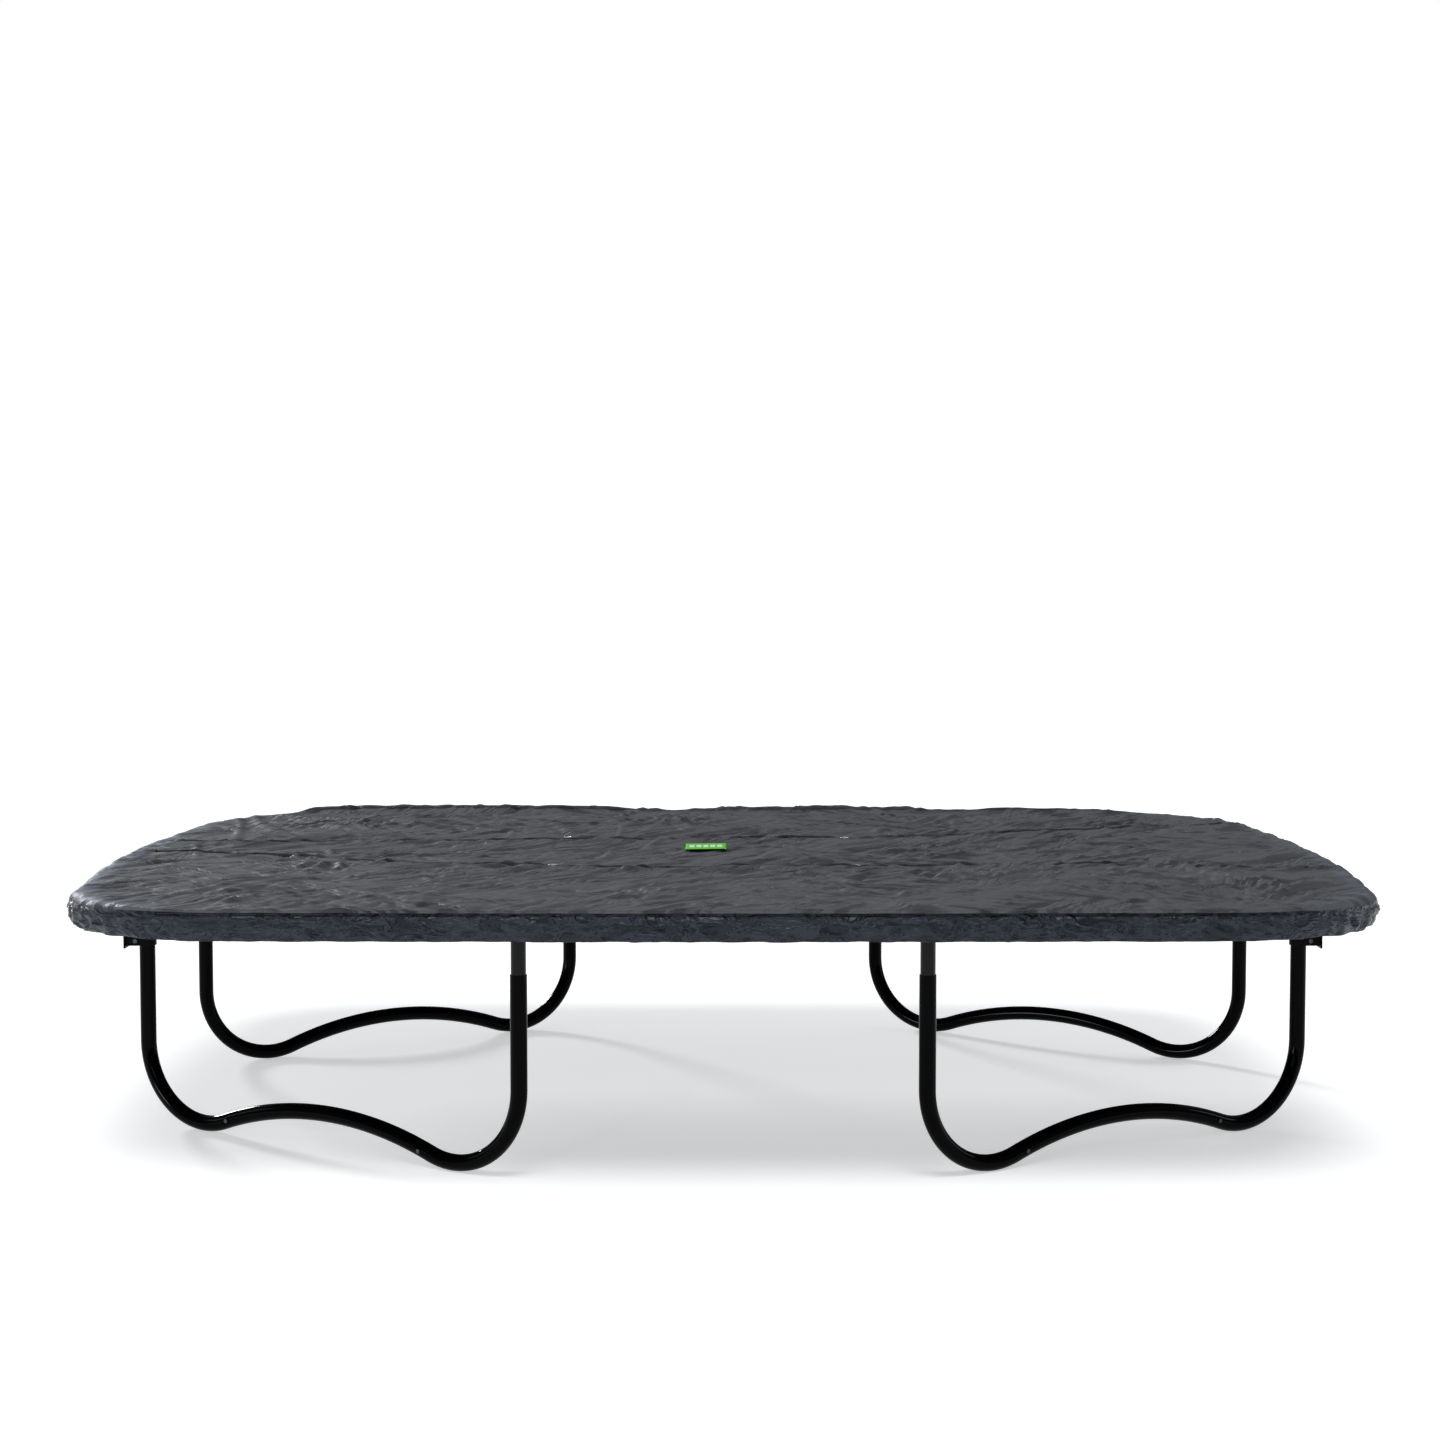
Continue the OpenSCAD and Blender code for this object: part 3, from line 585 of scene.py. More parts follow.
# Weather cover. Thin woven polyethylene sheeting: a top of three widths sewn along its length, a
# skirt sewn on round it, and an elastic in the hem that draws it in under the pad. It was folded
# small and pulled on by hand, so its top and skirt are crumpled and its seams lie out of line.
top_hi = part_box("cover_panel_middle")[1]
cover_a, cover_b = top_hi.x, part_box("cover_panel_back")[1].y
cover_top = top_hi.z
drop_total = cover_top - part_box("skirt_front")[0].z
cover_shape = (cover_a, cover_b, cover_r, end_bulge, side_bulge)
round_count = 1080
flat_edge = 0.075
rng = np.random.default_rng(7)


def smooth_noise(x, count, low, high, seed):
    """A wandering value along x: a few sines of random wavelength, between -1 and 1."""
    draw = np.random.default_rng(seed)
    waves = draw.uniform(low, high, count)
    phases = draw.uniform(0, 2 * math.pi, count)
    return sum(np.sin(2 * math.pi * x / w + p) for w, p in zip(waves, phases)) / count


def wander(u, v, seed):
    """Smooth noise over a plane, with cells of 1, between about -1 and 1."""
    turns = np.random.default_rng(seed).uniform(0, 2 * math.pi, (61, 61))
    iu, iv = np.floor(u).astype(int), np.floor(v).astype(int)
    fu, fv = u - iu, v - iv

    def pull(du, dv):
        a = turns[(iu + du) % 61, (iv + dv) % 61]
        return np.cos(a) * (fu - du) + np.sin(a) * (fv - dv)

    su, sv = fu * fu * (3 - 2 * fu), fv * fv * (3 - 2 * fv)
    low = pull(0, 0) * (1 - su) + pull(1, 0) * su
    high = pull(0, 1) * (1 - su) + pull(1, 1) * su
    return 1.5 * (low * (1 - sv) + high * sv)


def crumple(u, v, seed, octaves):
    """Ridges that branch and cross, as in a sheet that was folded small, from 0 to 1."""
    total, weight = np.zeros(len(u)), 0
    for k in range(octaves):
        size, amount = 2.0**k, 0.6**k
        total += amount * (1 - np.minimum(1, 2.4 * np.abs(wander(u * size, v * size, seed + k)))) ** 1.3
        weight += amount
    return total / weight


def crease_field(u, v, folds):
    """Height made by a list of folds: (centre u, v, angle, half length, half width, height, bow)."""
    height = np.zeros(len(u))
    for cu, cv, angle, length, width, rise, bow in folds:
        near = (np.abs(u - cu) < length + width * 4) & (np.abs(v - cv) < length + width * 4)
        du, dv = u[near] - cu, v[near] - cv
        along = du * math.cos(angle) + dv * math.sin(angle)
        across = -du * math.sin(angle) + dv * math.cos(angle)
        across = across - bow * (along / length) ** 2 * length
        fade = np.clip(1 - (along / length) ** 2, 0, 1) ** 1.5
        line = across / width
        # a narrow crest with a flatter trough beside it
        height[near] += rise * fade * (np.exp(-line**2) - 0.45 * np.exp(-((line - 1.9) / 1.3) ** 2))
    return height


# Fans of folds that pull from one spot:
# (x, y, first and last direction in degrees, folds, reach, height)
fold_fans = [
    (1.37, -0.86, 105, 176, 15, 0.85, 0.0042), (-1.26, -0.96, 12, 84, 13, 0.42, 0.0036),
    (-1.42, 1.00, -78, -24, 10, 0.75, 0.0040), (0.56, -0.20, -122, -28, 9, 0.42, 0.0042),
    (-0.98, -0.12, -115, -60, 5, 0.30, 0.0040), (-0.98, -0.10, 35, 150, 6, 0.30, 0.0036),
    (0.03, -0.22, -70, -20, 5, 0.30, 0.0040), (0.05, -0.16, 20, 70, 6, 0.40, 0.0036),
    (0.98, -0.12, -100, -30, 6, 0.45, 0.0044), (-0.15, -0.85, 50, 140, 6, 0.25, 0.0034),
    (0.35, -0.84, 45, 130, 5, 0.22, 0.0034), (-0.16, 1.00, -125, -50, 7, 0.45, 0.0036),
    (0.68, 1.00, -130, -60, 7, 0.40, 0.0036), (1.36, 0.80, 170, 235, 7, 0.50, 0.0036)]


def top_folds():
    folds = []
    for x, y, first, last, count, reach, rise in fold_fans:
        for turn in np.linspace(first, last, count):
            angle = math.radians(turn + rng.normal(0, 3))
            half = reach * rng.uniform(0.28, 0.5)
            start = reach * rng.uniform(0.02, 0.10)
            middle = start + half
            folds.append((x + middle * math.cos(angle), y + middle * math.sin(angle), angle, half,
                          rng.uniform(0.008, 0.015), rise * rng.uniform(0.9, 1.6), rng.normal(0, 0.07)))
    for _ in range(900):
        x, y = rng.uniform(-cover_a, cover_a), rng.uniform(-cover_b, cover_b)
        # most run askew, the way the cover was last pulled; on the right they lean the other way
        lean = -1 if rng.uniform() < np.clip(0.12 + 0.55 * x, 0.12, 0.65) else 1
        angle = lean * rng.normal(0.85, 0.28)
        width = rng.uniform(0.0055, 0.011)
        rise = rng.choice([1, 1, -0.8]) * rng.uniform(0.0022, 0.0054) * (width / 0.010) ** 0.7
        folds.append((x, y, angle, rng.uniform(0.06, 0.24), width, rise, rng.normal(0, 0.10)))
    for _ in range(60):
        x, y = rng.uniform(-1.2, 1.2), rng.uniform(-1.0, 1.0)
        folds.append((x, y, rng.normal(0, 0.12), rng.uniform(0.15, 0.5), rng.uniform(0.010, 0.018),
                      rng.uniform(0.0025, 0.0045), rng.normal(0, 0.05)))
    return folds


# The two seams as they lie once the cover is pulled on, from the left end to the right
seam_paths = {
    "back": [(-1.60, 0.27), (-1.25, 0.26), (-0.90, 0.33), (-0.45, 0.385), (-0.10, 0.40), (0.20, 0.42),
             (0.45, 0.43), (0.75, 0.51), (1.00, 0.57), (1.25, 0.65), (1.60, 0.75)],
    "front": [(-1.60, 0.03), (-1.20, -0.03), (-1.00, -0.09), (-0.80, -0.17), (-0.45, -0.215), (-0.10, -0.22),
              (0.10, -0.20), (0.32, -0.21), (0.60, -0.22), (0.95, -0.24), (1.10, -0.31), (1.60, -0.33)]}


def seam_line(x, name):
    """A seam's y at each x: its path, rounded off, with a slight waver."""
    px, py = np.array(seam_paths[name]).T
    fine = np.linspace(-1.6, 1.6, 321)
    blur = np.hanning(19)[1:-1] / np.hanning(19).sum()
    soft = np.convolve(np.pad(np.interp(fine, px, py), 8, "edge"), blur, "same")
    return np.interp(x, fine, soft[8:-8]) + 0.007 * smooth_noise(x, 6, 0.10, 0.5, len(px))


grid_x, grid_y = np.arange(-cover_a, cover_a, 0.0090), np.arange(-cover_b, cover_b, 0.0128)
grid = np.stack(np.meshgrid(grid_x, grid_y), -1).reshape(-1, 2)
grid[:, 0] += np.repeat(np.arange(len(grid_y)) % 2 * 0.0045, len(grid_x))
seam_x = np.arange(-cover_a, cover_a, 0.012)
for name in seam_paths:
    grid = grid[np.abs(grid[:, 1] - seam_line(grid[:, 0], name)) > 0.014]
grid = np.vstack([grid] + [np.column_stack([seam_x, seam_line(seam_x, name) + off]) for name in seam_paths
                           for off in (-0.011, -0.007, -0.003, 0.0, 0.004, 0.010)])
grid = grid[inside_outline(grid, *cover_shape, flat_edge + 0.006)]

edge, out, around = outline(*cover_shape, round_count)
s_along = np.arange(round_count) * around / round_count
ends = np.clip((np.abs(out[:, 0]) - 0.25) / 0.6, 0, 1) ** 1.3
wave = 1 + 0.35 * smooth_noise(s_along, 9, 0.09, 0.45, 61)
roll_end = 0.031 * wave

# The section from the flat top, over the pad's edge, down to the hem: (inset, drop) on the long
# sides, where the top's edge stands over the skirt's as a narrow lip, and on the rounded ends
flat_steps, roll_steps, skirt_steps = 5, 10, 9
side_section = [(0.0065, 0), (0.004, 0.0003), (0.0018, 0.0011), (0.0005, 0.0026), (0.0, 0.0042),
                (0.0006, 0.0054), (0.0050, 0.0062), (0.0068, 0.0084), (0.0050, 0.0120), (0.0020, 0.0160)]
insets, drops, hangs = [], [], []
for k in range(flat_steps):
    insets.append(flat_edge + (0.0065 + (roll_end - 0.0065) * ends - flat_edge) * k / flat_steps)
    drops.append(np.zeros(round_count))
    hangs.append(0.0)
for k, (side_in, side_drop) in enumerate(side_section):
    turn = k / (roll_steps - 1) * math.pi / 2
    insets.append(side_in * (1 - ends) + roll_end * (1 - math.sin(turn)) * ends)
    drops.append(side_drop * (1 - ends) + roll_end * (1 - math.cos(turn)) * ends)
    hangs.append(k / (roll_steps - 1))
low_in, low_drop = insets[-1], drops[-1]
for k in range(1, skirt_steps + 1):
    t = k / skirt_steps
    # the elastic draws the hem in
    insets.append(low_in * (1 - t) + 0.009 * t**2)
    drops.append(low_drop + (drop_total - 0.003 - low_drop) * t)
    hangs.append(1.0)
for hem_in, hem_up in ((0.0012, 0.0), (0.0050, 0.0006)):
    insets.append(insets[flat_steps + roll_steps + skirt_steps - 1] + hem_in)
    drops.append(np.full(round_count, drop_total - hem_up))
    hangs.append(1.0)
ring_count = len(insets)
insets, drops = np.array(insets), np.array(drops)


def ring_points(inset, drop):
    return np.column_stack([edge - out * inset[:, None], cover_top - drop])


def ring_normals(hang):
    tilt = hang * math.pi / 2
    return np.column_stack([out * math.sin(tilt), np.full(round_count, math.cos(tilt))])


def down_skirt(drop):
    """How far down the skirt a drop below the top is, from 0 to 1."""
    return np.clip((drop - 0.012) / (drop_total - 0.012), 0, 1)


def over_pad(px, py):
    """1 where the top lies on the pad, 0 over the mat."""
    return np.clip((np.maximum(np.abs(px) - 1.16, np.abs(py) - 0.70)) / 0.05, 0, 1)


def band_faces(first, second):
    """Quads between two rings, given the index of each ring's first point."""
    return [(first + i, second + i, second + (i + 1) % round_count, first + (i + 1) % round_count)
            for i in range(round_count)]


faces = []
for k in range(ring_count - 1):
    faces += band_faces(k * round_count, (k + 1) * round_count)
ring_total = ring_count * round_count
top_ring = ring_points(insets[0], drops[0])
faces += [tuple(i if i < round_count else i + ring_total - round_count for i in f)
          for f in fill_outline(top_ring[:, :2], grid)]
base = np.vstack([ring_points(i, d) for i, d in zip(insets, drops)]
                 + [np.column_stack([grid, np.full(len(grid), cover_top)])])
normal = np.vstack([ring_normals(h) for h in hangs] + [np.tile([0.0, 0.0, 1.0], (len(grid), 1))])
inner_zero = np.zeros(len(grid))
hang = np.concatenate([np.repeat(hangs, round_count), inner_zero])
down = np.concatenate([drops.reshape(-1), inner_zero])
s_all = np.concatenate([np.tile(s_along, ring_count), inner_zero])
at_end = np.concatenate([np.tile(ends, ring_count), inner_zero])
on_skirt = down_skirt(down) * (hang > 0.99)
x, y = base[:, 0], base[:, 1]


def lie_of_top(x, y):
    """How the top lies: it sags over the mat, and its back edge is pulled up in shallow scallops."""
    span = np.clip(1 - (x / (cover_a - 0.25)) ** 2, 0, 1) * np.clip(1 - (y / (cover_b - 0.25)) ** 2, 0, 1)
    lift = np.interp(x, [-1.45, -1.3, -1.0, -0.6, -0.35, -0.18, 0.05, 0.35, 0.55, 0.68, 0.85, 1.05, 1.3],
                     [0, 0.7, 1, 1, 0.75, 0.2, 0.6, 0.8, 0.6, 0.2, 0.6, 0.5, 0])
    lift = np.clip(lift + 0.12 * smooth_noise(x, 5, 0.10, 0.4, 11), 0, 1.1)
    from_back = cover_b - side_bulge * (x / (cover_a - end_bulge - cover_r)) ** 2 - y
    fall = 0.5 + 0.5 * np.cos(np.pi * np.clip((from_back - 0.016) / (0.016 + 0.030 * lift), 0, 1))
    soft = 0.0035 * wander(x / 0.45, y / 0.35, 3)
    return -0.012 * span + 0.020 * lift * fall * (y > 0.5) + soft * np.clip(span * 3, 0, 1)


def rear_slope(x, y):
    """How steeply the top climbs to its back edge, from 0 to 1: where it is steep, shade is painted into the
    colour.
    """
    rise = (lie_of_top(x, y + 0.004) - lie_of_top(x, y - 0.004)) / 0.008
    return np.clip(rise / 0.45, 0, 1) * (y > 0.5)


# folds and crumpling of the top
warp = 0.25 * wander(x / 0.3, y / 0.3, 17)
calm = np.clip(0.75 + 0.6 * wander(x / 0.4, y / 0.3, 5), 0.25, 1.2)
along_pull, over_pull = 0.62 * x + 0.78 * y, 0.62 * y - 0.78 * x
height = 0.0046 * calm * crumple(along_pull / 0.36 + warp, over_pull / 0.12 + warp, 23, 3)
height += crease_field(x, y, top_folds())
# each seam's groove is also darkened in the colour: painted shade of the fold
painted_shade_mark = np.zeros(len(base))
for name, power in (("back", 1.0), ("front", 1.15)):
    off = y - seam_line(x, name)
    strength = power * np.clip(0.55 + 1.1 * smooth_noise(x, 7, 0.12, 0.9, 77 + len(name)), 0.3, 1.4)
    ridge, groove = np.exp(-((off - 0.006) / 0.006) ** 2), np.exp(-((off + 0.003) / 0.004) ** 2)
    height += strength * (0.0062 * ridge - 0.0050 * groove)
    height += 0.0035 * strength * np.exp(-((off + 0.022) / 0.014) ** 2)
    painted_shade_mark = np.maximum(painted_shade_mark, np.minimum(1, 1.2 * strength) * np.exp(-((off + 0.003) / 0.008) ** 2))
room = 0.0005 + 0.005 * (1 - over_pad(x, y))
height = np.maximum(height, -room) * np.clip(1 - hang * 1.1, 0, 1)
eyelet_lo, eyelet_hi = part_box("cover_eyelets")
eyelet_r = 0.012
eyelet_xy = [(ex, ey) for ex in (eyelet_lo.x + eyelet_r, eyelet_hi.x - eyelet_r)
             for ey in (eyelet_lo.y + eyelet_r, eyelet_hi.y - eyelet_r)]
for ex, ey in eyelet_xy:
    height *= 1 - np.exp(-(np.hypot(x - ex, y - ey) / 0.024) ** 4)


def skirt_folds():
    folds = []
    for _ in range(1300):
        angle = rng.choice([-1, 1]) * rng.uniform(0.1, 1.1)
        width = rng.uniform(0.003, 0.008)
        folds.append((rng.uniform(0, around), rng.uniform(0, drop_total), angle,
                      rng.uniform(0.012, 0.055), width,
                      rng.uniform(0.0010, 0.0034) * (width / 0.005), rng.normal(0, 0.15)))
    return folds


ring_only = np.arange(len(base)) < ring_total
push = np.zeros(len(base))
su, sv = s_all[ring_only], down[ring_only]
corner = np.tile(np.clip(1 - np.abs(np.abs(out[:, 0]) - 0.75) / 0.4, 0, 1), ring_count)
push[ring_only] = crease_field(su, sv, skirt_folds())
push[ring_only] += 0.0058 * crumple(su / 0.085 + sv / 0.05, sv / 0.045 - su / 0.16, 91, 3)
push[ring_only] += 0.0030 * corner * np.sin(su * 2 * math.pi / 0.047 + 3 * smooth_noise(su, 4, 0.2, 0.9, 5))
push[ring_only] += 0.0030 * smooth_noise(su, 6, 0.12, 0.5, 21)
push = np.clip(push, -0.0005, 0.009) * np.clip(on_skirt * 4, 0, 1)
# the rounded ends are drawn into shallow scallops
push += 0.0035 * at_end * np.sin(np.pi * np.clip(hang, 0, 1)) * smooth_noise(s_all, 6, 0.08, 0.3, 71)
push += 0.0018 * (1 - at_end) * (np.abs(hang - 0.5) < 0.12) * smooth_noise(s_all, 8, 0.03, 0.3, 41)
move = normal * (height + push)[:, None]
move[:, 2] += lie_of_top(x, y) * (1 - down_skirt(down))
# the hem rides up and down a little, more at the corners
hem_wave = np.zeros(len(base))
hem_wave[ring_only] = (0.0016 + 0.006 * corner) * smooth_noise(su, 7, 0.09, 0.45, 31)
move[:, 2] += hem_wave * on_skirt**2
cloth = base + move

# the lining side: the same sheet seen from below, without its finest creases
under_rings = [ring_count - 4, ring_count - 8, flat_steps + 8, flat_steps + 5, flat_steps + 2,
               flat_steps - 1, 0]
under_xyz = []
for k in under_rings:
    wide = insets[max(k - 2, 0):k + 3].max(axis=0) if k >= flat_steps else insets[k]
    ring = ring_points(wide + 0.0015 * (k >= flat_steps), drops[k] + 0.0012 * (k < flat_steps + 3))
    ring[:, 2] += lie_of_top(ring[:, 0], ring[:, 1]) * (1 - down_skirt(drops[k]))
    under_xyz.append(ring)
coarse = np.stack(np.meshgrid(np.arange(-1.5, 1.51, 0.05), np.arange(-1.05, 1.06, 0.05)), -1).reshape(-1, 2)
coarse = coarse[inside_outline(coarse, *cover_shape, flat_edge + 0.02)]
coarse_z = cover_top + lie_of_top(*coarse.T) - 0.0012 - 0.005 * (1 - over_pad(*coarse.T))
under_xyz.append(np.column_stack([coarse, coarse_z]))
first_under = len(base)
hem_start = ring_total - round_count
rings_at = [first_under + k * round_count for k in range(len(under_rings))]
faces += band_faces(hem_start, rings_at[0])
for a, b in zip(rings_at, rings_at[1:]):
    faces += band_faces(a, b)
shift = rings_at[-1]
faces += [tuple(i + shift for i in reversed(f)) for f in fill_outline(under_xyz[-2][:, :2], coarse)]
cover = mesh_object("weather_cover", np.vstack([cloth] + under_xyz), faces)


def tarpaulin(name, dark, light, roughness, level, turns, creases, bump_depth):
    """Coated polyethylene weave: long fine creases, duller and paler along them, with painted shade and a
    painted sheen laid on from the mesh.
    """
    material, tree, shader = new_material(
        name, Specular_IOR_Level=level, Specular_Tint=(0.8, 0.88, 1.0, 1))
    place = add_node(tree, "ShaderNodeTexCoord").outputs["Object"]
    layers = []
    for turn in turns:
        stretch = add_node(tree, "ShaderNodeMapping", {
            "Rotation": (0, 0, math.radians(turn)), "Scale": creases, "Vector": place}, vector_type="TEXTURE")
        layer = add_node(tree, "ShaderNodeTexNoise", {
            "Scale": 1.0, "Detail": 4, "Roughness": 0.58, "Distortion": 0.7, "Vector": stretch.outputs[0]})
        layers.append(layer.outputs["Fac"])
    # the creases lie one way in some patches and the other way in others
    patch = object_noise(tree, Scale=1.7, Detail=3, Roughness=0.5)
    share = add_node(tree, "ShaderNodeMapRange", {"From Min": 0.46, "From Max": 0.60, "Value": patch},
                     interpolation_type="SMOOTHSTEP")
    fine = add_node(tree, "ShaderNodeMix", {
        "Factor": share.outputs["Result"], "A": layers[0], "B": layers[1]},
        data_type="FLOAT").outputs["Result"]
    # a ridge wherever the noise crosses its middle
    middle = add_node(tree, "ShaderNodeMath", {0: fine, 1: 0.5}, operation="SUBTRACT")
    fold = add_node(tree, "ShaderNodeMath", {0: middle.outputs[0]}, operation="ABSOLUTE")
    ridge = add_node(tree, "ShaderNodeMapRange", {
        "From Min": 0.0, "From Max": 0.12, "To Min": 1.0, "To Max": 0.0, "Value": fold.outputs[0]},
        interpolation_type="SMOOTHSTEP").outputs["Result"]
    grain = use_group(tree, grain_group, Grain_Size=700.0, Blotch_Size=2.6)
    # the colour is paler along the ridges of the fine creases
    ridge_tone = add_node(tree, "ShaderNodeMath", {0: ridge, 1: 0.5, 2: grain["Blotch"]}, operation="MULTIPLY_ADD")
    colour = colour_ramp(tree, ridge_tone.outputs[0], [(0.3, dark), (0.85, light)])
    # Painted shade and painted sheen: the colour is multiplied towards near black where the mesh marks shade
    # (seams' grooves, the groove under the lip, the slope up to the back edge), and paled towards a bluish
    # grey where it marks the sheen on the rolled ends.
    seam = add_node(tree, "ShaderNodeAttribute", attribute_name="painted_shade_mark")
    shade = add_node(tree, "ShaderNodeMix", data_type="RGBA", blend_type="MULTIPLY")
    painted_edge_sheen = add_node(tree, "ShaderNodeAttribute", attribute_name="painted_edge_sheen")
    sheen_mix = add_node(tree, "ShaderNodeMix", data_type="RGBA")
    for mix, mask, under, over in ((shade, seam, colour, (0.03, 0.03, 0.035, 1)),
                                   (sheen_mix, painted_edge_sheen, shade.outputs["Result"], (0.30, 0.33, 0.39, 1))):
        mix.inputs["B"].default_value = over
        tree.links.new(mask.outputs["Fac"], mix.inputs["Factor"])
        tree.links.new(under, mix.inputs["A"])
    relief = add_node(tree, "ShaderNodeMath", {0: grain["Height"], 1: 0.03, 2: ridge},
                      operation="MULTIPLY_ADD")
    surface(tree, shader, sheen_mix.outputs["Result"], fine, roughness, relief.outputs[0], 0.85, bump_depth)
    return material


# The top and the skirt are one sheeting; the skirt's darker, bluer colour is painted shade of its hanging
# sides.
cover.data.materials.append(tarpaulin(
    "tarpaulin top", (0.022, 0.0223, 0.0245), (0.087, 0.0885, 0.095), (0.48, 0.64),
    0.10, (50, -36), (0.36, 0.085, 0.2), 0.0046))
cover.data.materials.append(tarpaulin(
    "tarpaulin skirt in painted shade", (0.0008, 0.0009, 0.0012), (0.018, 0.0205, 0.028), (0.24, 0.44),
    0.34, (20, -50), (0.085, 0.085, 0.03), 0.0064))
# where the ends roll over the pad the colour is paled towards a bluish grey, most of all on the left: a
# painted sheen
in_from_edge = np.concatenate([insets.reshape(-1), np.full(len(grid), 1.0)])
streaks = np.clip(0.55 + 0.9 * smooth_noise(s_all, 9, 0.02, 0.22, 201)
                  + 0.35 * smooth_noise(s_all, 5, 0.006, 0.03, 7), 0, 1)
painted_edge_sheen = at_end * np.exp(-((hang - 0.06) / 0.30) ** 2) * np.clip(1.5 - in_from_edge / 0.05, 0, 1) * streaks
painted_edge_sheen *= np.where(x < 0, 0.9, 0.28)
# painted shade: the groove under the top's lip on the long sides is darkened, and so is the slope up to the
# back edge, with the seams
groove = np.exp(-((hang - 0.70) / 0.09) ** 2) * (1 - 0.6 * at_end)
painted_shade_total = painted_shade_mark * np.clip(1 - hang * 3, 0, 1) + 0.9 * groove + 0.6 * rear_slope(x, y)
for label, values in (("painted_shade_mark", painted_shade_total), ("painted_edge_sheen", painted_edge_sheen)):
    marks = cover.data.attributes.new(label, "FLOAT", "POINT")
    marks.data.foreach_set("value", np.concatenate(
        [values, np.zeros(len(cover.data.vertices) - len(base))]).astype(np.float32))
first_skirt = (flat_steps + 6) * round_count
cover.data.polygons.foreach_set("material_index", [
    int(first_skirt <= min(f) < ring_total or min(f) >= first_under and min(f) < rings_at[4]) for f in faces])
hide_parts("cover_panel_front", "cover_panel_middle", "cover_panel_back",
            "skirt_front", "skirt_back", "skirt_left", "skirt_right")
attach(cover, "cover")


# Elastic cord, run through the skirt's hem and knotted, so it follows the hem's waves.
def build_cord_tree(material):
    tree, source, result = geometry_tree("hem cord", {"Radius": 0.0025, "Material": material})
    as_curve = add_node(tree, "GeometryNodeMeshToCurve", {"Mesh": source["Geometry"]})
    return give_material(tree, source, result, wire_of(tree, as_curve.outputs["Curve"], source["Radius"]))


elastic_look = woven("elastic cord", (0.008, 0.008, 0.008), (0.025, 0.025, 0.025),
                     0.001, (0.6, 0.7), 0.0002)
hem = cloth[hem_start:ring_total][::2]
hem_way = out[::2]
cord_path = hem + np.column_stack([-hem_way * 0.0045, np.full(len(hem), 0.0040)])
cord_data = bpy.data.meshes.new("hem_elastic_cord")
cord_data.from_pydata(cord_path.tolist(), [(i, (i + 1) % len(hem)) for i in range(len(hem))], [])
elastic = run_tree(new_object("hem_elastic_cord", cord_data), build_cord_tree(elastic_look))
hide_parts("hem_elastic")
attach(elastic, "cover")


# Eyelets and label. Four plated eyelets let rain through beside the seams, and a plain green
# woven label with a row of white bars is sewn to the middle panel.
def top_height(px, py):
    """Height of the cloth at a place on the top."""
    near = np.argsort((cloth[:, 0] - px) ** 2 + (cloth[:, 1] - py) ** 2 + 9 * (hang > 0))[:4]
    return cloth[near, 2].mean()


def ring_mesh(name, places, radius, hole, height):
    """Pressed rings with a rolled edge: a section turned about each place."""
    section = [(hole, -0.6), (hole, 0.5), (hole + 0.15 * (radius - hole), 0.95), (0.5 * (radius + hole), 1.0),
               (radius - 0.12 * (radius - hole), 0.7), (radius, 0.15), (radius, -0.6)]
    verts, ring_faces, steps, n = [], [], 40, len(section)
    for px, py, pz in places:
        first = len(verts)
        for k in range(steps):
            a = 2 * math.pi * k / steps
            verts += [(px + r * math.cos(a), py + r * math.sin(a), pz + h * height) for r, h in section]
        for k in range(steps):
            for j in range(n):
                a, b = first + k * n, first + (k + 1) % steps * n
                ring_faces.append((a + j, a + (j + 1) % n, b + (j + 1) % n, b + j))
    piece = mesh_object(name, verts, ring_faces)
    face_outwards(piece)
    return piece


eyelet_at = [(ex, ey, top_height(ex, ey) + 0.0009) for ex, ey in eyelet_xy]
eyelets = ring_mesh("cover_eyelet_rings", eyelet_at, eyelet_r, 0.0065, 0.0009)
nickel = plated_steel("dull nickel plate", (0.50, 0.505, 0.515), (0.72, 0.725, 0.735), (0.32, 0.48))
eyelets.data.materials.append(nickel)
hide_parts("cover_eyelets")
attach(eyelets, "cover")

label_lo, label_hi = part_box("cover_label")


def label_cloth(name, colour_low, colour_high):
    return woven(name, colour_low, colour_high, 0.0012, (0.6, 0.75), 0.0002, Specular_IOR_Level=0.03)


def label_piece(name, x0, x1, y0, y1, lift, thick, material):
    """A flat patch that follows the cloth: a grid of points over the patch."""
    nx, ny = 18, 14
    xs, ys = np.linspace(x0, x1, nx), np.linspace(y0, y1, ny)
    spots = [(a, b, label_level(a, b) + lift) for b in ys for a in xs]
    index = np.arange(nx * ny).reshape(ny, nx)
    quads = [(j * nx + i, j * nx + i + 1, (j + 1) * nx + i + 1, (j + 1) * nx + i)
             for j in range(ny - 1) for i in range(nx - 1)]
    rim = np.concatenate([index[0], index[1:, -1], index[-1, -2::-1], index[-2:0:-1, 0]])
    piece = mesh_object(name, *thin_shell(np.array(spots), quads, rim, thick))
    piece.data.materials.append(material)
    return piece


label_mid = ((label_lo.x + label_hi.x) / 2, (label_lo.y + label_hi.y) / 2)
near_label = cloth[np.hypot(cloth[:, 0] - label_mid[0], cloth[:, 1] - label_mid[1]) < 0.16]
# a plane fitted to the cloth there, lifted until it clears every fold
plane = np.column_stack([np.ones(len(near_label)), near_label[:, :2]])
label_fit = np.linalg.lstsq(plane, near_label[:, 2], rcond=None)[0]
label_top = (near_label[:, 2] - plane @ label_fit).max()


def label_level(a, b):
    return label_fit @ np.array([1, a, b]) + label_top


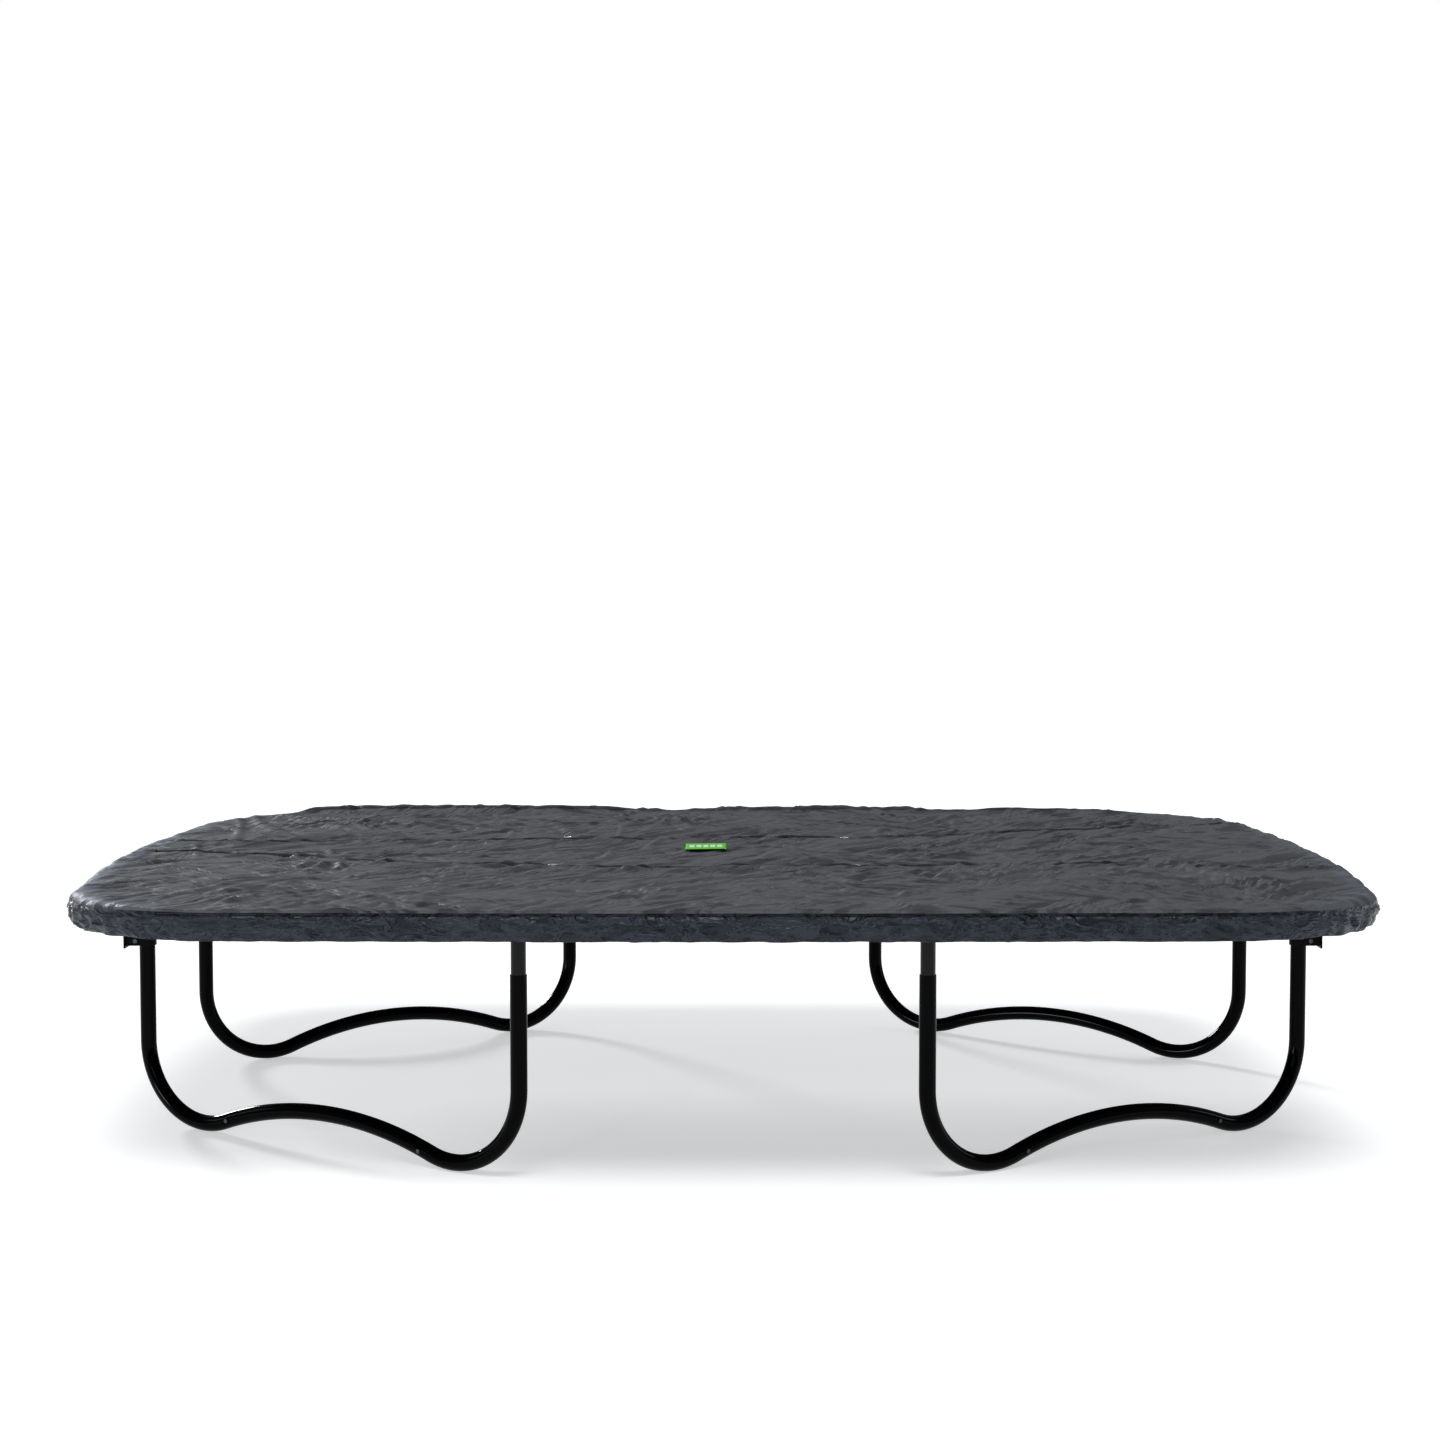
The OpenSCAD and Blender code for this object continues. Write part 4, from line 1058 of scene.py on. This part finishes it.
green = label_cloth("green label weave", (0.10, 0.50, 0.035), (0.16, 0.62, 0.06))
white = label_cloth("white label weave", (0.62, 0.66, 0.60), (0.76, 0.79, 0.74))
label = label_piece("cover_label_patch", label_lo.x, label_hi.x, label_lo.y, label_hi.y,
                    0.0004, 0.0012, green)
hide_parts("cover_label")
width, depth = label_hi.x - label_lo.x, label_hi.y - label_lo.y
marks_made = []
for k in range(5):
    marks_made.append(label_piece(
        f"cover_label_bar_{k + 1}", label_lo.x + (0.10 + 0.17 * k) * width,
        label_lo.x + (0.22 + 0.17 * k) * width, label_lo.y + 0.30 * depth, label_lo.y + 0.70 * depth,
        0.0008, 0.0006, white))
for piece in [label] + marks_made:
    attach(piece, "cover")


# Studio: a white floor as wide as can be seen, white all round, a broad light from above and in
# front, low ones from behind and from the left, three soft boxes, and the camera.
def white_floor():
    """White vinyl floor, partly lit from below so that shadows on it stay light."""
    return new_material(
        "white floor", Roughness=0.9, Specular_IOR_Level=0.0, Emission_Strength=0.50,
        Base_Color=(0.8, 0.8, 0.8, 1), Emission_Color=(1, 1, 1, 1))[0]


floor_r, floor_steps = 80.0, 64
floor_turns = [2 * math.pi * k / floor_steps for k in range(floor_steps)]
floor_verts = [(0, 0, 0)] + [(floor_r * math.cos(t), floor_r * math.sin(t), 0) for t in floor_turns]
floor = mesh_object("studio_floor", floor_verts,
                    [(0, k + 1, (k + 1) % floor_steps + 1) for k in range(floor_steps)])
floor.data.materials.append(white_floor())


def aim(lamp_object, place, at):
    lamp_object.location = place
    lamp_object.rotation_mode = "QUATERNION"
    lamp_object.rotation_quaternion = (Vector(at) - Vector(place)).to_track_quat("-Z", "Y")


def soft_box(name, place, at, size, power, colour=(1, 1, 1)):
    lamp = bpy.data.lights.new(name, "AREA")
    lamp.shape = "RECTANGLE"
    lamp.size, lamp.size_y = size
    lamp.energy = power
    lamp.color = colour
    made = new_object(name, lamp)
    aim(made, place, at)
    made.visible_camera = False


def far_light(name, place, strength, angle, colour=(1, 1, 1)):
    lamp = bpy.data.lights.new(name, "SUN")
    lamp.energy = strength
    lamp.angle = math.radians(angle)
    lamp.color = colour
    aim(new_object(name, lamp), place, (0, 0, 0))


far_light("broad overhead", (0, -2.4, 6), 1.6, 30)
far_light("low from behind", (-3.0, 5.0, 2.0), 1.9, 10, (0.97, 0.98, 1))
far_light("low from the left", (-4.0, -2.6, 0.36), 0.62, 9, (0.88, 0.94, 1))
soft_box("left end", (-4.6, -0.2, 0.62), (-1.5, -0.2, 0.56), (0.4, 3.0), 14, (0.86, 0.93, 1))
soft_box("right end", (5.0, 0.3, 0.9), (1.5, 0, 0.58), (0.5, 2.5), 22, (0.9, 0.95, 1))
soft_box("front strip", (-2.2, -6.0, 2.2), (0, -1.0, 0.5), (0.4, 1.6), 20, (0.9, 0.95, 1))

world = bpy.data.worlds.new("studio")
world.use_nodes = True
tree = world.node_tree
seen = tree.nodes["Background"]
seen.inputs["Color"].default_value = (1, 1, 1, 1)
# the camera sees white, while the object is lit by less
dim = add_node(tree, "ShaderNodeBackground", {"Color": (0.85, 0.92, 1, 1), "Strength": 0.22})
path = add_node(tree, "ShaderNodeLightPath")
pick = add_node(tree, "ShaderNodeMixShader", {
    "Fac": path.outputs["Is Camera Ray"], 1: dim.outputs[0], 2: seen.outputs[0]})
tree.links.new(pick.outputs[0], tree.nodes["World Output"].inputs["Surface"])
scene.world = world
scene.view_settings.view_transform = "Standard"

camera_data = bpy.data.cameras.new("camera")
camera_data.sensor_width = 36
camera_data.lens = 63.5
camera = new_object("camera", camera_data)
camera.location = (-0.007, -6.481, 1.369)
camera.rotation_euler = (math.radians(90 - 3.6), 0, 0)
scene.camera = camera
